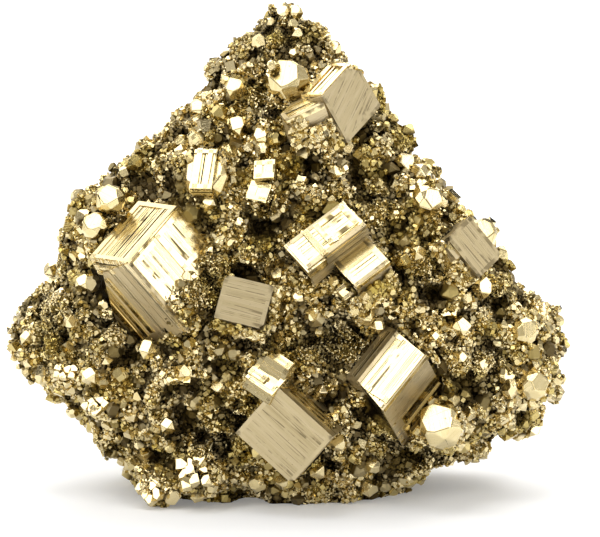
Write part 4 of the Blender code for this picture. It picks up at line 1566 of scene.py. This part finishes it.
# %% [markdown]
# The finest sugar needs no thinning: it is dealt out by area, so many grains to each small triangle
# of the ground mass, which covers it evenly. Only grains that would be swallowed by a larger crystal
# are left out. Each is a cube corner of four faces, so tens of thousands stay light.

# %% Sugar
SUGAR_RADII = (0.20, 0.37)
SUGAR_PER_MM2 = {"seen": 6.2, "back": 0.9}
SUGAR_BIAS, SUGAR_BACK, SUGAR_GROWN = 1.3, 9.0, 1.45  # beyond this depth grains are fewer and larger


def grow_sugar(rng):
    seen = SEEN & (CENTRES[:, 1] < SUGAR_BACK)
    wanted = np.where(seen, SUGAR_PER_MM2["seen"], SUGAR_PER_MM2["back"]) * AREAS
    count = np.floor(wanted + rng.random(len(wanted))).astype(int)
    points, normals, soil = points_on(rng, np.repeat(np.arange(len(AREAS)), count))
    low, high = SUGAR_RADII
    radii = low * (high / low) ** (rng.random(len(points)) ** SUGAR_BIAS)
    radii *= np.where(points[:, 1] < SUGAR_BACK, 1.0, SUGAR_GROWN)
    fits = ~inside_placed(points, 0.05) & ~inside_round(points, 0.0) & (points[:, 2] > 0.12)
    chosen = [i for i in np.flatnonzero(fits) if crowd.room_for(tuple(points[i]), 0.0, 0.72)]
    return points[chosen], normals[chosen], soil[chosen], radii[chosen]


druse["sugar"] = grow_sugar(np.random.default_rng(31))
print("sugar:", len(druse["sugar"][0]))

# %% [markdown]
# Druse has also grown over some sides of the big cubes, so that only their clean faces stand out of
# it. Those sides are listed with the stretch that is covered, and get crystals of three sizes.

# %% Covered sides
COVERED = [
    # a side that druse has grown over: cube, axis, side, and the stretch along its two other axes
    ("ridge_cube", 0, -1, (-3.7, 3.5), (-9.0, -0.4)), ("right_cube", 1, -1, (-4.5, 4.5), (-6.0, -0.8)),
    ("flat_cube", 1, -1, (-4.3, 4.3), (-6.0, -0.6)), ("flat_cube", 0, 1, (-3.6, 3.6), (-6.0, -0.8)),
    ("top_cube_side", 1, -1, (-3.7, -0.2), (-5.5, -0.7)), ("top_cube_side", 1, -1, (-0.2, 3.7), (-5.5, -3.0)),
    ("top_cube", 0, -1, (-4.8, 0.5), (-6.8, -0.8)), ("stair_middle", 1, -1, (-3.8, 3.8), (-7.0, -2.4)),
    ("low_block", 0, -1, (-2.7, 2.7), (-6.0, -1.2)), ("stair_lower", 1, -1, (-2.0, 2.0), (-5.0, -1.0)),
]
COVER_PER_MM2 = {"small": 0.8, "grain": 2.4, "sugar": 6.0}
COVER_RADII = {"small": (0.6, 0.9), "grain": (0.34, 0.56), "sugar": SUGAR_RADII}
# how thick the cover lies, in mm, and the most shade painted on its crystals, a chance amount each
COVER_THICK, COVER_PAINTED_SHADE = 0.9, 0.35


def cover_side(rng, kind, entry):
    """Crystals of one kind over one covered side: middle, outward direction, painted shade and radius."""
    name, axis, side, *stretches = entry
    crystal = CRYSTALS[name]
    lows, highs = zip(*stretches)
    count = int((highs[0] - lows[0]) * (highs[1] - lows[1]) * COVER_PER_MM2[kind])
    places = np.insert(rng.uniform(lows, highs, (count, 2)), axis, 0.0, axis=1)
    places[:, axis] = side * (crystal.size[axis] / 2 + rng.uniform(0.0, COVER_THICK, count))
    soil = rng.uniform(0.0, COVER_PAINTED_SHADE, count)
    normals = np.tile(crystal.turn[:, axis] * side, (count, 1))
    return places @ crystal.turn.T + crystal.at, normals, soil, rng.uniform(*COVER_RADII[kind], count)


cover_rng = np.random.default_rng(33)
for kind in COVER_PER_MM2:
    layers = [druse[kind]] + [cover_side(cover_rng, kind, entry) for entry in COVERED]
    druse[kind] = tuple(np.concatenate([layer[i] for layer in layers]) for i in range(4))
print("with covered sides:", {kind: len(found[0]) for kind, found in druse.items()})

# %% [markdown]
# The druse is cut into upright slabs, five in front and two at the back, because one mesh of it all
# would be too heavy. Each crystal is stood on the skin, leaning and spun by chance, and takes a tint
# that changes from lump to lump.

# %% Druse pieces
FRONT_CUTS, BACK_CUTS = (-60, -22, -6, 8, 22, 60), (-60, 0, 60)
LEANS = {"middle": 0.35, "small": 0.35, "grain": 0.30, "sugar": 0.30}
ROOT_DEPTH = 0.12  # how far out of the skin a crystal's middle stands, in radii
TINT_MIDDLE, TINT_BY_LUMP, TINT_BY_CRYSTAL, TINT_LUMP = 0.52, 0.9, 0.22, 4.5


def turns_up(rng, normals, lean):
    """Rotation matrices that stand each copy on its normal, leaning and spun by chance."""
    z = normals + rng.normal(0, lean, normals.shape)
    z /= np.linalg.norm(z, axis=1)[:, None]
    x = np.cross(rng.normal(size=normals.shape), z)
    x /= np.linalg.norm(x, axis=1)[:, None]
    return np.stack([x, np.cross(z, x), z], axis=2)


def add_copies(heap, kind, points, normals, soil, radii, rng):
    """Copies of one kind dealt out over the points, each turned its own way."""
    masters = MASTERS[kind]
    deal = rng.integers(0, len(masters), len(points))
    turns = turns_up(rng, normals, LEANS[kind])
    tint = TINT_MIDDLE + TINT_BY_LUMP * soft_noise(points, TINT_LUMP, 12)
    tint = np.clip(tint + rng.normal(0, TINT_BY_CRYSTAL, len(points)), 0, 1)
    stain = stain_at(points)
    lifted = points + normals * (radii * ROOT_DEPTH)[:, None]
    for number, master in enumerate(masters):
        mine = deal == number
        skin = {"tint": tint[mine], "stain": stain[mine], "soil": soil[mine]}
        heap.add(master, lifted[mine], turns[mine], radii[mine], **skin)


def build_druse():
    rng, total = np.random.default_rng(22), 0
    for side, cuts in (("front", FRONT_CUTS), ("back", BACK_CUTS)):
        for number, (low, high) in enumerate(zip(cuts, cuts[1:])):
            heap = Heap()
            for kind, (points, *rest) in druse.items():
                behind, x = points[:, 1] >= 0, points[:, 0]
                mine = (behind == (side == "back")) & (x >= low) & (x < high)
                add_copies(heap, kind, points[mine], *[part[mine] for part in rest], rng)
            heap.piece(f"druse_{side}_{number + 1}", DRUSE)
            total += heap.triangles()
    print("druse in all:", total, "triangles")


build_druse()

# %% [markdown]
# The round crystals and many small bright ones stand clear of the druse. A big one is a bead of many
# faces. Every other small one is a cube with its corners cut. They are made one by one, not copied,
# so that no two have the same face towards a lamp.

# %% Beads
GOLD_SHARE = (0.15, 0.6)
BIG_BEAD, TERRACED_BEAD = 2.2, 1.2  # radii in mm from which a bead has many faces, and terraces


def round_solid(rng, number, radius, broad):
    """A bead of many faces, or for every other small one a cube with its corners cut."""
    if radius < BIG_BEAD and number % 2:
        return sliced_block(0.80, corner_planes(rng, 0.98, 0.08))
    return sliced_block(1.0, bead_planes(rng, 34 if radius > BIG_BEAD else 16, broad))


def build_round(name, entries, seed):
    rng, heap = np.random.default_rng(seed), Heap()
    for number, (at, facing, radius, broad) in enumerate(entries):
        solid = round_solid(rng, number, radius, broad)
        if radius > TERRACED_BEAD:
            terraces(solid, 0.05, 0.02)
        _, turn = frame_of(at, facing, rng.normal(size=3))
        heap.add_one(solid, at, turn, radius, rng.uniform(*GOLD_SHARE))
    return heap.piece(name, SMOOTH)


build_round("round_crystals", ROUND, 41)

# %% [markdown]
# The small bright crystals are listed by where they show on the best side. A ray from the eye finds
# the ground mass there, so each is rooted in it, whatever the skin does in that place.

# %% Bright crystals
BRIGHT = [
    # x, height and radius on the best side
    (-38.3, 33.8, 1.3), (-34.6, 23.8, 1.5), (-27.3, 17.2, 1.6), (23.1, 56.8, 1.6), (33.7, 39.9, 1.8),
    (41.4, 40.1, 2.0), (-18.8, 24.9, 1.3), (-0.7, 5.1, 1.5), (36.4, 10.9, 1.6), (42.7, 14.5, 1.5),
    (-21.4, 68.8, 1.8), (-27.3, 66.1, 1.8), (-1.7, 41.9, 1.4), (-1.9, 38.7, 1.2), (13.7, 34.6, 1.7),
    (15.2, 33.0, 1.4), (-15.3, 71.4, 1.6), (-9.0, 74.9, 1.9), (-5.3, 83.3, 1.2), (1.3, 84.7, 1.0),
    (8.1, 81.9, 1.4), (-21.0, 15.0, 1.4), (9.0, 12.0, 1.5), (-35.5, 40.5, 1.5), (38.0, 24.0, 1.5),
    (-8.5, 68.0, 1.8), (-4.5, 66.5, 1.5), (8.0, 60.5, 1.3), (20.0, 62.0, 1.7), (22.5, 46.0, 1.4),
    (30.0, 33.0, 1.6), (-24.5, 28.5, 1.7), (-12.0, 22.0, 1.6), (5.5, 7.0, 1.6), (15.0, 8.0, 1.5),
]
AIM_DEPTH = -21.0  # the depth at which the listed places are meant
BRIGHT_OUT, BRIGHT_BROAD, BRIGHT_SMALL, BRIGHT_TURN = 0.45, 0.66, 1.35, 15
GROUND_TREE = tree_of(ground.data)


def seen_from_eye(x, height):
    """The point of the ground mass that the eye sees in that place."""
    ray = Vector((x, AIM_DEPTH, height)) - Vector(EYE)
    return GROUND_TREE.ray_cast(Vector(EYE), ray.normalized())[0]


def bright_places():
    """The rooted places, with broad faces towards the lamp of their side, or the other if small."""
    for x, height, radius in BRIGHT:
        hit = seen_from_eye(x, height)
        if hit is not None:
            facing = RIGHT_FACING if (x > BRIGHT_TURN) != (radius < BRIGHT_SMALL) else LEFT_FACING
            yield np.array(hit) + np.array(facing) * radius * BRIGHT_OUT, facing, radius, BRIGHT_BROAD


build_round("bright_crystals", list(bright_places()), 42)

# %% [markdown]
# Some lumps are many small cubes grown side by side, so nearly parallel that they light up together,
# like a mosaic. Each is a grid of three by three blunt cubes on a slightly domed lump.

# %% Mosaic crystals
MOSAICS = [
    # x, height and reach of a lump of small cubes grown side by side on the best side
    (-23.9, 4.2, 2.7), (-16.7, 6.9, 3.0), (-38.8, 25.5, 2.2), (-33.8, 18.8, 1.9), (-18.6, 24.4, 1.8),
    (-34.0, 8.9, 1.5), (23.0, 57.5, 1.8), (8.2, 49.0, 1.6), (28.4, 36.0, 1.6), (44.0, 35.0, 1.9),
]
TILE_STEP, TILE_SIZES, TILE_HALF = 0.62, (0.26, 0.37), 0.93
DOME_TOP, DOME_FALL, DOME_SINK = 0.9, 0.09, 0.30
TILE_SHIFT, TILE_LIFT, TILE_LEAN, TILE_TURN = 0.06, 0.2, 0.012, 0.12


def add_mosaic(heap, rng, hit, reach):
    middle, axes = frame_of(hit, LEFT_FACING, rng.normal(size=3))
    for row, column in product((-1, 0, 1), repeat=2):
        step = np.array([row, column]) * TILE_STEP * reach + rng.normal(0, TILE_SHIFT, 2) * reach
        high = DOME_TOP - DOME_FALL * reach * (row**2 + column**2) + rng.uniform(-TILE_LIFT, TILE_LIFT)
        at = middle + axes @ np.array([*step, high - DOME_SINK * reach])
        lean = axes[:, 2] + axes[:, :2] @ step * TILE_LEAN + rng.normal(0, TILE_LEAN, 3)
        _, turn = frame_of(at, lean, axes[:, 0] + rng.normal(0, TILE_TURN, 3))
        solid = sliced_block(TILE_HALF, some_corners(rng, 1.05, 0.10))
        size = reach * rng.uniform(*TILE_SIZES)
        heap.add_one(solid, at, turn, size, rng.uniform(*GOLD_SHARE))


def build_mosaics(seed):
    rng, heap = np.random.default_rng(seed), Heap()
    for x, height, reach in MOSAICS:
        hit = seen_from_eye(x, height)
        if hit is not None:
            add_mosaic(heap, rng, hit, reach)
    return heap.piece("mosaic_crystals", SMOOTH)


build_mosaics(45)

# %% [markdown]
# Last come the glints: small clean crystals at chance places between the rest, each with its broad
# face towards one of the lamps. Waiting for chance to turn a face to a lamp would take too many.

# %% Glint crystals
GLINTS = 90
GLINT_RADII, GLINT_BROAD, GLINT_OUT, GLINT_LEAN = (0.75, 1.25), 0.62, 0.3, 0.05
GLINT_CLEAR, GLINT_ROUND_CLEAR, FACING_LEAST = 2.2, 0.8, 0.25


def glint_places(rng):
    """Chance places on the best side, each with a broad face towards one of the lamps."""
    share = AREAS * np.clip(UPWARD @ FRONT - FACING_LEAST, 0.0, 1.0)
    points, normals, _ = points_on(rng, rng.choice(len(AREAS), GLINTS, p=share / share.sum()))
    radii = rng.uniform(*GLINT_RADII, GLINTS)
    fits = ~inside_placed(points, GLINT_CLEAR) & ~inside_round(points, GLINT_ROUND_CLEAR)
    for point, normal, radius in zip(points[fits], normals[fits], radii[fits]):
        facing = LEFT_FACING if rng.random() < 0.5 else RIGHT_FACING
        facing = np.array(facing) + rng.normal(0, GLINT_LEAN, 3)
        yield point + normal * radius * GLINT_OUT, facing / np.linalg.norm(facing), radius, GLINT_BROAD


build_round("glint_crystals", list(glint_places(np.random.default_rng(43))), 44)
